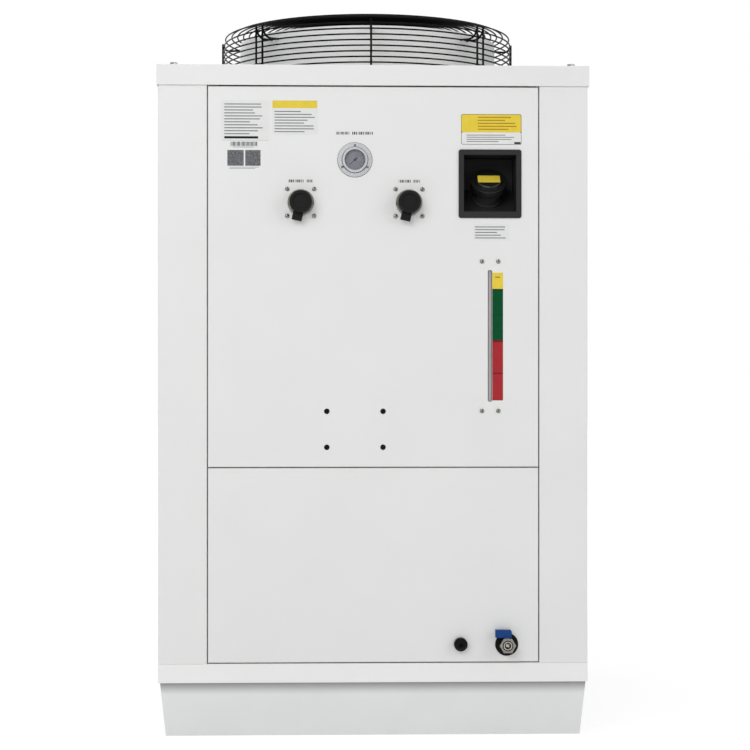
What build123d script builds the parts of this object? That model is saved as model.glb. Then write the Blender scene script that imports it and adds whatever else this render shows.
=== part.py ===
from build123d import *
from math import cos, radians, sin
import os

os.makedirs("parts", exist_ok=True)

# A free-standing water chiller. Millimetres, +Z up, floor at Z = 0.
# The service face, with the water ports, looks towards -Y. X runs to the right of someone who
# faces it. The origin is on the floor, at the middle of the whole footprint.

# Cabinet
BODY_WIDTH = 764.5
BODY_DEPTH = 894.5
CABINET_HEIGHT = 1193.5
PLINTH_HEIGHT = 95.4
PLINTH_TOP_INSET = 3.3
PLINTH_FOOT_INSET = 12.8
PLINTH_LIP = 36.0
BAND_HEIGHT = 33.8
CAP_HEIGHT = 36.5
CAP_OVERHANG = 2.75
PANEL_SHEET = 1.5
FRAME_SHEET = 2.0
SHEET_BEND = 2.0
SEAM = 2.0
PANEL_RETURN = 15.0
POST_WIDTH = 86.25
POST_LAP = 18.0
SPLIT_HEIGHT = 477.7

# Frame inside
RAIL_HEIGHT = 40.0
RAIL_DEPTH = 25.0
GUSSET = 62.0
GUSSET_SHEET = 3.0

# Water ports, on a centre line beside the middle of the face
CENTRE_LINE = -33.0
PORT_PITCH = 192.6
PORT_HEIGHT = 948.8
PORT_BORE = 30.0
PORT_SOCKET = 33.0
PORT_SOCKET_DEPTH = 15.0
PORT_WALL = 2.5
COLLAR_DIAMETER = 46.4
COLLAR_PROUD = 9.0
PORT_FLANGE = 62.0
PORT_FLANGE_SHEET = 4.0
PORT_TAIL = 42.0
PLUG_DIAMETER = 39.5
PLUG_PROUD = 28.0
PLUG_STEM = 14.0
PLUG_TURN = -13.0
SLIDING_GAP = 0.3
THREAD_GAP = 0.1

# Pressure gauge
GAUGE_HEIGHT = 1024.8
GAUGE_CASE = 42.6
GAUGE_CASE_DEPTH = 28.0
GAUGE_WALL = 1.0
GAUGE_FLANGE = 61.0
GAUGE_FLANGE_SHEET = 1.5
GAUGE_HOLE_CIRCLE = 52.0
GAUGE_HOLE = 3.2
GAUGE_RIM = 3.2
GAUGE_BEZEL = 45.5
GAUGE_BEZEL_HEIGHT = 4.6
GAUGE_BEZEL_LIP = 36.8
GAUGE_GLASS_SHEET = 1.5
GAUGE_DIAL_SHEET = 0.6
GAUGE_ZERO = 221.0
POINTER_LIFT = 0.8
POINTER_SHEET = 0.8
SPINDLE = 1.6
SHAFT_GAP = 0.05

# Fill recess, neck and cap
FILL_X = 207.7
RECESS_WIDTH = 112.0
RECESS_BOTTOM = 921.9
RECESS_TOP = 1043.9
RECESS_FRAME = 3.0
RECESS_FRAME_CORNER = 4.0
RECESS_MOUTH_WIDTH = 93.5
RECESS_MOUTH_BOTTOM = 933.3
RECESS_MOUTH_TOP = 1034.4
RECESS_DEPTH = 75.0
RECESS_FLOOR = 29.0
RECESS_WALL = 2.5
NECK_DEPTH = 56.0
NECK_DIAMETER = 44.0
NECK_BORE = 37.0
NECK_ABOVE_SLOPE = 38.0
NECK_NUT = 52.0
NECK_NUT_HEIGHT = 3.0
CAP_DIAMETER = 65.0
CAP_SKIRT = 14.0
CAP_TOP_SHEET = 4.0
CAP_GRIP = 46.0
CAP_GRIP_HEIGHT = 5.0

# Water tank and level tube
TANK_LEFT = 112.0
TANK_WIDTH = 172.0
TANK_FRONT = 50.0
TANK_DEPTH = 330.0
TANK_TOP = 900.0
TANK_WALL = 4.0
TANK_CORNER = 18.0
LEVEL_X = 208.0
LEVEL_SLOT_X = 207.7
LEVEL_SLOT_WIDTH = 7.8
LEVEL_SLOT_BOTTOM = 594.5
LEVEL_SLOT_TOP = 829.4
LEVEL_CHANNEL_BOTTOM = 566.2
LEVEL_CHANNEL_TOP = 856.5
LEVEL_CHANNEL_WIDTH = 45.0
LEVEL_CHANNEL_DEPTH = 15.0
LEVEL_CHANNEL_INSIDE = 18.0
LEVEL_TUBE = 10.0
LEVEL_TUBE_WALL = 1.5
LEVEL_FITTING_HEIGHT = 16.0
LEVEL_SPIGOT = 6.0

# Four plain holes
PATTERN_WIDTH = 100.0
PATTERN_HEIGHT = 64.0
PATTERN_CENTRE_HEIGHT = 545.6
PATTERN_HOLE = 10.0

# Cable gland
GLAND_X = 155.0
GLAND_HEIGHT = 163.2
GLAND_NUT = 24.0
GLAND_PROUD = 15.0
GLAND_THREAD = 16.0
GLAND_TAIL = 14.0
GLAND_BORE = 8.0
LOCKNUT_FLATS = 22.0
LOCKNUT_HEIGHT = 4.0

# Drain valve
DRAIN_X = 237.4
DRAIN_HEIGHT = 162.5
GROMMET_DIAMETER = 41.0
GROMMET_PROUD = 3.0
GROMMET_NECK = 35.0
VALVE_BODY = 24.0
VALVE_FLATS = 25.4
VALVE_PROUD = 25.0
VALVE_HEX_LENGTH = 10.0
VALVE_BORE = 12.0
VALVE_BACK = 14.0
STEM_PROUD = 12.5
BALL = 17.2
STEM = 6.0
LEVER_TAIL = 21.4
LEVER_NOSE = 7.6
LEVER_HEIGHT = 14.2
LEVER_THICKNESS = 9.0
DRAIN_TAIL = 32.0

# Fan duct, guard, motor and rotor
DUCT_DIAMETER = 510.0
DUCT_SHEET = 2.0
DUCT_TOP = CABINET_HEIGHT + 105.5
DUCT_MOUTH = 24.0
GUARD_WIRE = 3.0
GUARD_UPRIGHT = 4.0
GUARD_RADIUS = 289.0
GUARD_WELD = 1.6
GUARD_RING_SIDES = 24
GUARD_RING_PITCH = 10.5
GUARD_LOWEST_RING = CABINET_HEIGHT + 10.5
GUARD_SIDE_RINGS = 10
GUARD_SHOULDER = CABINET_HEIGHT + 111.5
GUARD_SHOULDER_RADIUS = 14.0
GUARD_TOP_RINGS = 4
GUARD_TOP_PITCH = 42.0
GUARD_CENTRE_RADIUS = 90.0
GUARD_TOP = CABINET_HEIGHT + 139.5
GUARD_PAIR_ANGLE = 1.7
FOOT_LENGTH = 8.0
MOTOR_PLATE = 220.0
MOTOR_PLATE_SHEET = 3.0
MOTOR_STATOR = 124.0
MOTOR_STATOR_HEIGHT = 58.0
MOTOR_SHAFT = 17.0
ROTOR_CAN = 136.0
ROTOR_CAN_WALL = 3.0
ROTOR_CAN_HEIGHT = 74.0
ROTOR_GAP = 2.0
BLADE_COUNT = 5
BLADE_TIP_GAP = 5.0
BLADE_RING_WALL = 4.0
BLADE_SHEET = 3.0
BLADE_HEIGHT = CABINET_HEIGHT + 64.5

# Coils and refrigerant circuit
COIL_THICKNESS = 40.0
COIL_LENGTH = 640.0
COIL_TOP = 1120.0
COIL_FROM_SIDE = 45.0
COIL_PLATE = 3.0
HEADER = 20.0
COMPRESSOR_X = -190.0
COMPRESSOR_FROM_FACE = 600.0
COMPRESSOR_DIAMETER = 170.0
COMPRESSOR_HEIGHT = 300.0
COMPRESSOR_PLATE = 220.0
COMPRESSOR_PLATE_SHEET = 4.0
RUBBER_FOOT = 30.0
RUBBER_FOOT_HEIGHT = 18.0
EVAPORATOR_WIDTH = 110.0
EVAPORATOR_DEPTH = 76.0
EVAPORATOR_TOP = 380.0
EVAPORATOR_FROM_FACE = 320.0
EVAPORATOR_PORT_PITCH = 70.0
STUB_LENGTH = 30.0
WATER_PIPE = 32.0
WATER_BORE = 26.0
GAS_PIPE = 16.0
LIQUID_PIPE = 10.0

# Pump
PUMP_FROM_FACE = 110.0
PUMP_HEIGHT = 95.0
VOLUTE_DIAMETER = 144.0
VOLUTE_LENGTH = 60.0
VOLUTE_CHAMBER = 122.0
VOLUTE_WALL = 9.0
IMPELLER = 114.0
IMPELLER_LENGTH = 30.0
PUMP_SHAFT = 16.0
PUMP_MOTOR = 124.0
PUMP_MOTOR_LENGTH = 220.0
PUMP_ARMATURE = 70.0
PUMP_FOOT = 100.0

# Air inlets in the side and control panels
LOUVRE_LENGTH = 250.0
LOUVRE_OPENING = 16.0
LOUVRE_PITCH = 42.0
LOUVRE_ROWS = 11
LOUVRE_ROW_CENTRE = 810.0
LOUVRE_INSET = 11.0
LOUVRE_COLUMN_PITCH = 290.0

# Controller and electrical box
CONTROLLER_HEIGHT = 1000.0
CONTROLLER_SIZE = (150.0, 90.0)
CONTROLLER_PROUD = 8.0
CONTROLLER_BODY = (138.0, 78.0)
CONTROLLER_DEPTH = 55.0
BOX_SIZE = (220.0, 120.0, 350.0)
BOX_X = -150.0
BOX_FROM_BACK = 110.0

# Places that follow from the sizes
HALF_WIDTH = BODY_WIDTH / 2
OVERALL_DEPTH = PLUG_PROUD + BODY_DEPTH + CONTROLLER_PROUD
FACE_Y = PLUG_PROUD - OVERALL_DEPTH / 2
BACK_Y = FACE_Y + BODY_DEPTH
MIDDLE_Y = FACE_Y + BODY_DEPTH / 2
BAND_TOP = PLINTH_HEIGHT + BAND_HEIGHT
CAP_EDGE = CABINET_HEIGHT - CAP_HEIGHT
CAP_UNDERSIDE = CABINET_HEIGHT - PANEL_SHEET
PANEL_BOTTOM = BAND_TOP + SEAM
PANEL_TOP = CAP_EDGE - SEAM
PANEL_WIDTH = BODY_WIDTH - 2 * (POST_WIDTH + SEAM)
SIDE_PANEL_WIDTH = BODY_DEPTH - 2 * (POST_WIDTH + SEAM)
SHELF_BOTTOM = SPLIT_HEIGHT + RAIL_HEIGHT / 2
SHELF_TOP = SHELF_BOTTOM + FRAME_SHEET
RAIL_SETBACK = PANEL_RETURN + FRAME_SHEET
OUTLET_X = CENTRE_LINE - PORT_PITCH / 2
INLET_X = CENTRE_LINE + PORT_PITCH / 2
SHELF_MARGIN = RAIL_SETBACK + 3


def on_service(x, z, proud=0.0, turn=0.0):
    """A plane at (x, z) of the service face, facing out, so far proud of it and turned."""
    across = (cos(radians(turn)), 0, sin(radians(turn)))
    return Plane(origin=(x, FACE_Y - proud, z), x_dir=across, z_dir=(0, -1, 0))


def on_control(x, z, proud=0.0):
    """A plane at (x, z) of the control face, opposite the service face, facing out."""
    return Plane(origin=(x, BACK_Y + proud, z), x_dir=(-1, 0, 0), z_dir=(0, 1, 0))


def on_side(side, z, proud=0.0):
    """A plane on the middle of a side, facing out; side is -1 for the left and 1 for the right."""
    place = (side * (HALF_WIDTH + proud), MIDDLE_Y, z)
    return Plane(origin=place, x_dir=(0, side, 0), z_dir=(side, 0, 0))


def inside(x, depth, z):
    """A point so deep behind the service face."""
    return (x, FACE_Y + depth, z)


def save(piece, name):
    piece.part.label = name
    export_step(piece.part, f"parts/{name}.step")


ACROSS = Plane.YZ
ALONG = Plane.XZ.offset(-MIDDLE_Y)

# Plinth: a tapered skirt folded from sheet, with a lip on the floor and a lip under the tray
with BuildPart() as plinth:
    for shrink, mode in ((0, Mode.ADD), (FRAME_SHEET, Mode.SUBTRACT)):
        foot = 2 * (PLINTH_FOOT_INSET + shrink)
        head = 2 * (PLINTH_TOP_INSET + shrink)
        with BuildSketch(Plane.XY):
            with Locations((0, MIDDLE_Y)):
                Rectangle(BODY_WIDTH - foot, BODY_DEPTH - foot)
        with BuildSketch(Plane.XY.offset(PLINTH_HEIGHT)):
            with Locations((0, MIDDLE_Y)):
                Rectangle(BODY_WIDTH - head, BODY_DEPTH - head)
        loft(mode=mode)
    for low, inset in ((0, PLINTH_FOOT_INSET), (PLINTH_HEIGHT - FRAME_SHEET, PLINTH_TOP_INSET)):
        edge = 2 * (inset + FRAME_SHEET / 2)
        with BuildSketch(Plane.XY.offset(low)):
            with Locations((0, MIDDLE_Y)):
                Rectangle(BODY_WIDTH - edge, BODY_DEPTH - edge)
                hole = 2 * (inset + PLINTH_LIP)
                Rectangle(BODY_WIDTH - hole, BODY_DEPTH - hole, mode=Mode.SUBTRACT)
        extrude(amount=FRAME_SHEET)
save(plinth, "plinth")

# Base tray: a folded band, with a return flange that stands on the plinth
with BuildPart() as base_tray:
    with BuildSketch(Plane.XY.offset(PLINTH_HEIGHT)):
        with Locations((0, MIDDLE_Y)):
            Rectangle(BODY_WIDTH, BODY_DEPTH)
    extrude(amount=BAND_HEIGHT)
    chamfer(base_tray.faces().sort_by(Axis.Z)[-1].edges(), length=SHEET_BEND / 2)
    with BuildSketch(Plane.XY.offset(PLINTH_HEIGHT + FRAME_SHEET)):
        with Locations((0, MIDDLE_Y)):
            wall = 2 * FRAME_SHEET
            Rectangle(BODY_WIDTH - wall, BODY_DEPTH - wall)
    extrude(amount=BAND_HEIGHT, mode=Mode.SUBTRACT)
    with BuildSketch(Plane.XY.offset(PLINTH_HEIGHT)):
        with Locations((0, MIDDLE_Y)):
            flange = 2 * (PLINTH_TOP_INSET + PLINTH_LIP)
            Rectangle(BODY_WIDTH - flange, BODY_DEPTH - flange)
    extrude(amount=FRAME_SHEET, mode=Mode.SUBTRACT)
save(base_tray, "base_tray")

# Base plate: the floor of the machine room, set flush in the band
with BuildPart() as base_plate:
    with BuildSketch(Plane.XY.offset(BAND_TOP)):
        with Locations((0, MIDDLE_Y)):
            Rectangle(BODY_WIDTH - wall, BODY_DEPTH - wall)
    extrude(amount=-FRAME_SHEET)
save(base_plate, "base_plate")

# Corner posts: one folded profile with laps that the panels' returns lie on and a gusset on
# top, mirrored for the other corners
with BuildPart(mode=Mode.PRIVATE) as post:
    with BuildSketch(Plane(origin=(-HALF_WIDTH, FACE_Y, BAND_TOP))) as fold:
        with BuildLine():
            reach = POST_WIDTH + POST_LAP
            bends = Polyline(
                (PANEL_RETURN, reach),
                (PANEL_RETURN, POST_WIDTH),
                (0, POST_WIDTH),
                (0, 0),
                (POST_WIDTH, 0),
                (POST_WIDTH, PANEL_RETURN),
                (reach, PANEL_RETURN),
            )
            offset(bends, amount=FRAME_SHEET, kind=Kind.INTERSECTION, side=Side.LEFT)
        make_face()
    extrude(amount=CAP_UNDERSIDE - BAND_TOP)
    corner = post.edges().filter_by(Axis.Z).sort_by(Axis((0, 0, 0), (1, 1, 0)))[0]
    fillet(corner, radius=SHEET_BEND)
    with BuildSketch(Plane.XY.offset(CAP_UNDERSIDE)):
        with Locations((-HALF_WIDTH + 1, FACE_Y + 1)):
            Rectangle(GUSSET, GUSSET, align=(Align.MIN, Align.MIN))
    extrude(amount=-GUSSET_SHEET)

with BuildPart() as corner_posts:
    add(post.part)
    mirror(post.part, about=ACROSS)
    mirror(corner_posts.part, about=ALONG)
save(corner_posts, "corner_posts")

# Rails: four channels round the frame at the seam's height, behind the posts' laps
with BuildPart() as rails:
    for face, length in (
        (on_service(0, SPLIT_HEIGHT), PANEL_WIDTH),
        (on_control(0, SPLIT_HEIGHT), PANEL_WIDTH),
        (on_side(-1, SPLIT_HEIGHT), SIDE_PANEL_WIDTH),
        (on_side(1, SPLIT_HEIGHT), SIDE_PANEL_WIDTH),
    ):
        with BuildSketch(face.offset(-RAIL_SETBACK)):
            Rectangle(length, RAIL_HEIGHT)
        extrude(amount=-RAIL_DEPTH)
        with BuildSketch(face.offset(-RAIL_SETBACK - FRAME_SHEET)):
            Rectangle(length, RAIL_HEIGHT - 2 * FRAME_SHEET)
        extrude(amount=-RAIL_DEPTH, mode=Mode.SUBTRACT)
save(rails, "cross_rails")


def folded_panel(face, width, low, high):
    """A panel folded from sheet: a flat face with a return along each edge, open at the back."""
    with BuildPart() as panel:
        with BuildSketch(face):
            with Locations((0, (low + high) / 2)):
                Rectangle(width, high - low)
        extrude(amount=-PANEL_RETURN)
        outwards = Axis(face.origin, face.z_dir)
        chamfer(panel.faces().sort_by(outwards)[-1].edges(), length=SHEET_BEND / 2)
        with BuildSketch(face.offset(-PANEL_SHEET)):
            with Locations((0, (low + high) / 2)):
                Rectangle(width - 2 * PANEL_SHEET, high - low - 2 * PANEL_SHEET)
        extrude(amount=-PANEL_RETURN, mode=Mode.SUBTRACT)
    return panel.part


PANEL_CUT = 2 * PANEL_SHEET

# Service upper panel, with the openings for everything that shows on it
with BuildPart() as service_upper_panel:
    add(folded_panel(on_service(0, 0), PANEL_WIDTH, SPLIT_HEIGHT + SEAM / 2, PANEL_TOP))
    with BuildSketch(on_service(0, 0)):
        with Locations((OUTLET_X, PORT_HEIGHT), (INLET_X, PORT_HEIGHT)):
            Circle(COLLAR_DIAMETER / 2 + SLIDING_GAP)
        with Locations((CENTRE_LINE, GAUGE_HEIGHT)):
            Circle(GAUGE_CASE / 2 + SLIDING_GAP)
        with Locations((FILL_X, (RECESS_MOUTH_BOTTOM + RECESS_MOUTH_TOP) / 2)):
            margin = 2 * (RECESS_WALL + SLIDING_GAP)
            tall = RECESS_MOUTH_TOP - RECESS_MOUTH_BOTTOM + margin
            Rectangle(RECESS_MOUTH_WIDTH + margin, tall)
        with Locations((LEVEL_SLOT_X, (LEVEL_SLOT_BOTTOM + LEVEL_SLOT_TOP) / 2)):
            SlotOverall(LEVEL_SLOT_TOP - LEVEL_SLOT_BOTTOM, LEVEL_SLOT_WIDTH, rotation=90)
        with Locations((CENTRE_LINE, PATTERN_CENTRE_HEIGHT)):
            with GridLocations(PATTERN_WIDTH, PATTERN_HEIGHT, 2, 2):
                Circle(PATTERN_HOLE / 2)
    extrude(amount=-PANEL_CUT, mode=Mode.SUBTRACT)
save(service_upper_panel, "service_upper_panel")

# Service lower panel, with the holes for the gland and the drain
with BuildPart() as service_lower_panel:
    add(folded_panel(on_service(0, 0), PANEL_WIDTH, PANEL_BOTTOM, SPLIT_HEIGHT - SEAM / 2))
    with BuildSketch(on_service(0, 0)):
        with Locations((GLAND_X, GLAND_HEIGHT)):
            Circle(GLAND_THREAD / 2 + THREAD_GAP)
        with Locations((DRAIN_X, DRAIN_HEIGHT)):
            Circle(GROMMET_NECK / 2)
    extrude(amount=-PANEL_CUT, mode=Mode.SUBTRACT)
save(service_lower_panel, "service_lower_panel")


def louvre():
    """One pressed-in louvre: a vane that slopes up and inwards, with a cheek at each end.

    It is drawn on its own axes: X along the louvre, Y up, Z outwards, at the sheet's face."""
    half = LOUVRE_OPENING / 2
    with BuildPart(mode=Mode.PRIVATE) as vane:
        with BuildSketch(Plane.YZ.offset(-LOUVRE_LENGTH / 2)):
            with BuildLine():
                Polyline(
                    (-half, 0),
                    (-half, -PANEL_SHEET),
                    (half, -LOUVRE_INSET - PANEL_SHEET),
                    (half, -LOUVRE_INSET),
                    close=True,
                )
            make_face()
        extrude(amount=LOUVRE_LENGTH)
        with BuildSketch(Plane.YZ.offset(-LOUVRE_LENGTH / 2)) as cheek:
            with BuildLine():
                Polyline(
                    (-half, -PANEL_SHEET / 2),
                    (half, -LOUVRE_INSET - PANEL_SHEET / 2),
                    (half, -PANEL_SHEET / 2),
                    close=True,
                )
            make_face()
        extrude(amount=PANEL_SHEET)
        with BuildSketch(Plane.YZ.offset(LOUVRE_LENGTH / 2)):
            add(cheek.sketch_local)
        extrude(amount=-PANEL_SHEET)
    return vane.part


def louvred(panel, face, columns, rows, height):
    """A panel with a field of louvres round a height of the face."""
    vane = louvre()
    with BuildPart(mode=Mode.PRIVATE) as result:
        add(panel)
        with BuildSketch(face):
            with Locations((0, height)):
                with GridLocations(LOUVRE_COLUMN_PITCH, LOUVRE_PITCH, columns, rows):
                    Rectangle(LOUVRE_LENGTH, LOUVRE_OPENING)
        extrude(amount=-PANEL_CUT, mode=Mode.SUBTRACT)
        with Locations(face):
            with Locations((0, height)):
                with GridLocations(LOUVRE_COLUMN_PITCH, LOUVRE_PITCH, columns, rows):
                    add(vane)
    return result.part


# Side panels, a pair, louvred where the coils stand behind them
with BuildPart() as side_panels:
    for side in (-1, 1):
        wall = on_side(side, 0)
        blank = folded_panel(wall, SIDE_PANEL_WIDTH, PANEL_BOTTOM, PANEL_TOP)
        add(louvred(blank, wall, 2, LOUVRE_ROWS, LOUVRE_ROW_CENTRE))
save(side_panels, "side_panels")

# Control panels on the far face: the controller's above, air for the machine room below
with BuildPart() as control_upper_panel:
    add(folded_panel(on_control(0, 0), PANEL_WIDTH, SPLIT_HEIGHT + SEAM / 2, PANEL_TOP))
    with BuildSketch(on_control(0, CONTROLLER_HEIGHT)):
        Rectangle(CONTROLLER_BODY[0] + SLIDING_GAP, CONTROLLER_BODY[1] + SLIDING_GAP)
    extrude(amount=-PANEL_CUT, mode=Mode.SUBTRACT)
save(control_upper_panel, "control_upper_panel")

LOWER_LOUVRES = 5
with BuildPart() as control_lower_panel:
    wall = on_control(0, 0)
    blank = folded_panel(wall, PANEL_WIDTH, PANEL_BOTTOM, SPLIT_HEIGHT - SEAM / 2)
    add(louvred(blank, wall, 2, LOWER_LOUVRES, (PANEL_BOTTOM + SPLIT_HEIGHT) / 2))
save(control_lower_panel, "control_lower_panel")

# Top cover: a tray turned down over the posts, with the fan's opening
with BuildPart() as top_cover:
    over = 2 * CAP_OVERHANG
    with BuildSketch(Plane.XY.offset(CAP_EDGE)):
        with Locations((0, MIDDLE_Y)):
            Rectangle(BODY_WIDTH + over, BODY_DEPTH + over)
    extrude(amount=CAP_HEIGHT)
    chamfer(top_cover.faces().sort_by(Axis.Z)[-1].edges(), length=SHEET_BEND / 2)
    with BuildSketch(Plane.XY.offset(CAP_EDGE)):
        with Locations((0, MIDDLE_Y)):
            wall = 2 * PANEL_SHEET - over
            Rectangle(BODY_WIDTH - wall, BODY_DEPTH - wall)
    extrude(amount=CAP_HEIGHT - PANEL_SHEET, mode=Mode.SUBTRACT)
    with BuildSketch(Plane.XY.offset(CABINET_HEIGHT)):
        with Locations((0, MIDDLE_Y)):
            Circle(DUCT_DIAMETER / 2)
    extrude(amount=-PANEL_CUT, mode=Mode.SUBTRACT)
save(top_cover, "top_cover")

# Fan duct: a rolled ring welded in the cover's opening
DUCT_BOTTOM = CAP_UNDERSIDE - 4
with BuildPart() as fan_duct:
    with BuildSketch(Plane((0, MIDDLE_Y, DUCT_BOTTOM))):
        Circle(DUCT_DIAMETER / 2)
        Circle(DUCT_DIAMETER / 2 - DUCT_SHEET, mode=Mode.SUBTRACT)
    extrude(amount=DUCT_TOP - DUCT_BOTTOM)
save(fan_duct, "fan_duct")

# Duct mouth: a flared ring under the duct that leads the air in
FAN_AXIS = Axis((0, MIDDLE_Y, 0), (0, 0, 1))
with BuildPart() as duct_mouth:
    outer = DUCT_DIAMETER / 2
    with BuildSketch(ALONG):
        with BuildLine():
            Polyline(
                (outer - DUCT_SHEET, DUCT_BOTTOM),
                (outer, DUCT_BOTTOM),
                (outer + DUCT_MOUTH, DUCT_BOTTOM - DUCT_MOUTH),
                (outer + DUCT_MOUTH - DUCT_SHEET, DUCT_BOTTOM - DUCT_MOUTH),
                close=True,
            )
        make_face()
    revolve(axis=FAN_AXIS)
save(duct_mouth, "duct_mouth")

# Fan guard: rings of wire welded inside upright wires that turn in over the top
RING_RADIUS = GUARD_RADIUS - (GUARD_UPRIGHT + GUARD_WIRE) / 2 + GUARD_WELD
DOME_START = GUARD_RADIUS - GUARD_SHOULDER_RADIUS
DOME_RISE = GUARD_TOP - GUARD_UPRIGHT / 2 - GUARD_SHOULDER - GUARD_SHOULDER_RADIUS


def dome_height(radius):
    """The height of the top wires' centre line, which rises from the shoulder to the middle."""
    share = (DOME_START - radius) / (DOME_START - GUARD_CENTRE_RADIUS)
    return GUARD_SHOULDER + GUARD_SHOULDER_RADIUS + DOME_RISE * share


def guard_upright(angle, foot):
    """One upright wire: up from its foot, over the shoulder and in to the middle."""
    with BuildPart(mode=Mode.PRIVATE) as upright:
        swung = Plane(origin=(0, MIDDLE_Y, 0), x_dir=Vector(1, 0, 0).rotate(Axis.Z, angle),
                      z_dir=Vector(0, -1, 0).rotate(Axis.Z, angle))
        with BuildSketch(swung.offset(-GUARD_UPRIGHT / 2)):
            with BuildLine():
                rise = Line((GUARD_RADIUS, foot), (GUARD_RADIUS, GUARD_SHOULDER))
                bend = CenterArc((DOME_START, GUARD_SHOULDER), GUARD_SHOULDER_RADIUS, 0, 90)
                over = Line(bend @ 1, (GUARD_CENTRE_RADIUS, dome_height(GUARD_CENTRE_RADIUS)))
            trace(Wire([rise, bend, over]), line_width=GUARD_UPRIGHT)
        extrude(amount=GUARD_UPRIGHT)
    return upright.part


def guard_ring(radius, height):
    """One ring of wire in straight pitches, by the radius and the height of its centre line."""
    with BuildPart(mode=Mode.PRIVATE) as ring:
        with BuildSketch(Plane((0, MIDDLE_Y, height - GUARD_WIRE / 2))):
            RegularPolygon(radius + GUARD_WIRE / 2, GUARD_RING_SIDES)
            RegularPolygon(radius - GUARD_WIRE / 2, GUARD_RING_SIDES, mode=Mode.SUBTRACT)
        extrude(amount=GUARD_WIRE)
    return ring.part


with BuildPart() as fan_guard:
    wires = []
    for row in range(GUARD_SIDE_RINGS):
        wires.append(guard_ring(RING_RADIUS, GUARD_LOWEST_RING + row * GUARD_RING_PITCH))
    under = (GUARD_UPRIGHT + GUARD_WIRE) / 2 - GUARD_WELD / 2
    for row in range(GUARD_TOP_RINGS):
        radius = DOME_START - 4 - row * GUARD_TOP_PITCH
        wires.append(guard_ring(radius, dome_height(radius) - under))
    for quarter in (0, 90, 180, 270):
        wires.append(guard_upright(quarter, GUARD_LOWEST_RING - GUARD_WIRE / 2))
        for side in (-1, 1):
            wires.append(guard_upright(quarter + 45 + side * GUARD_PAIR_ANGLE, CABINET_HEIGHT))
    with BuildPart(mode=Mode.PRIVATE) as feet:
        spread = 2 * GUARD_RADIUS * sin(radians(GUARD_PAIR_ANGLE))
        with BuildSketch(Plane((0, MIDDLE_Y, CABINET_HEIGHT))):
            with PolarLocations(GUARD_RADIUS + FOOT_LENGTH / 2, 4, start_angle=45):
                SlotCenterToCenter(FOOT_LENGTH, spread + GUARD_UPRIGHT)
                SlotCenterToCenter(FOOT_LENGTH, spread - GUARD_UPRIGHT, mode=Mode.SUBTRACT)
        extrude(amount=GUARD_UPRIGHT)
    wires.append(feet.part)
    add(wires)
save(fan_guard, "fan_guard")

# Fan motor: a plate under the guard's middle, and the stator that hangs from it
PLATE_TOP = dome_height(MOTOR_PLATE / 2) - GUARD_UPRIGHT / 2
STATOR_TOP = PLATE_TOP - MOTOR_PLATE_SHEET
CAN_TOP = STATOR_TOP - 6
with BuildPart() as fan_motor:
    with BuildSketch(Plane((0, MIDDLE_Y, PLATE_TOP))):
        Circle(MOTOR_PLATE / 2)
    extrude(amount=-MOTOR_PLATE_SHEET)
    with BuildSketch(Plane((0, MIDDLE_Y, STATOR_TOP))):
        Circle(MOTOR_STATOR / 2)
    extrude(amount=-MOTOR_STATOR_HEIGHT)
    with BuildSketch(Plane((0, MIDDLE_Y, STATOR_TOP - MOTOR_STATOR_HEIGHT))):
        Circle(MOTOR_SHAFT / 2 + SHAFT_GAP)
    extrude(amount=MOTOR_STATOR_HEIGHT, mode=Mode.SUBTRACT)
save(fan_motor, "fan_motor")

# Rotor can: a cup round the stator, on its shaft
CAN_BOTTOM = CAN_TOP - ROTOR_CAN_HEIGHT
with BuildPart() as rotor_can:
    with BuildSketch(Plane((0, MIDDLE_Y, CAN_BOTTOM))):
        Circle(ROTOR_CAN / 2)
    extrude(amount=ROTOR_CAN_HEIGHT)
    chamfer(rotor_can.edges().group_by(Axis.Z)[0], length=6)
    floor = CAN_BOTTOM + ROTOR_CAN_WALL
    with BuildSketch(Plane((0, MIDDLE_Y, floor))):
        Circle(ROTOR_CAN / 2 - ROTOR_CAN_WALL)
    extrude(amount=ROTOR_CAN_HEIGHT, mode=Mode.SUBTRACT)
    with BuildSketch(Plane((0, MIDDLE_Y, floor - ROTOR_CAN_WALL / 2))):
        Circle(MOTOR_SHAFT / 2)
    extrude(amount=STATOR_TOP - 8 - floor + ROTOR_CAN_WALL / 2)
save(rotor_can, "rotor_can")

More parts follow.
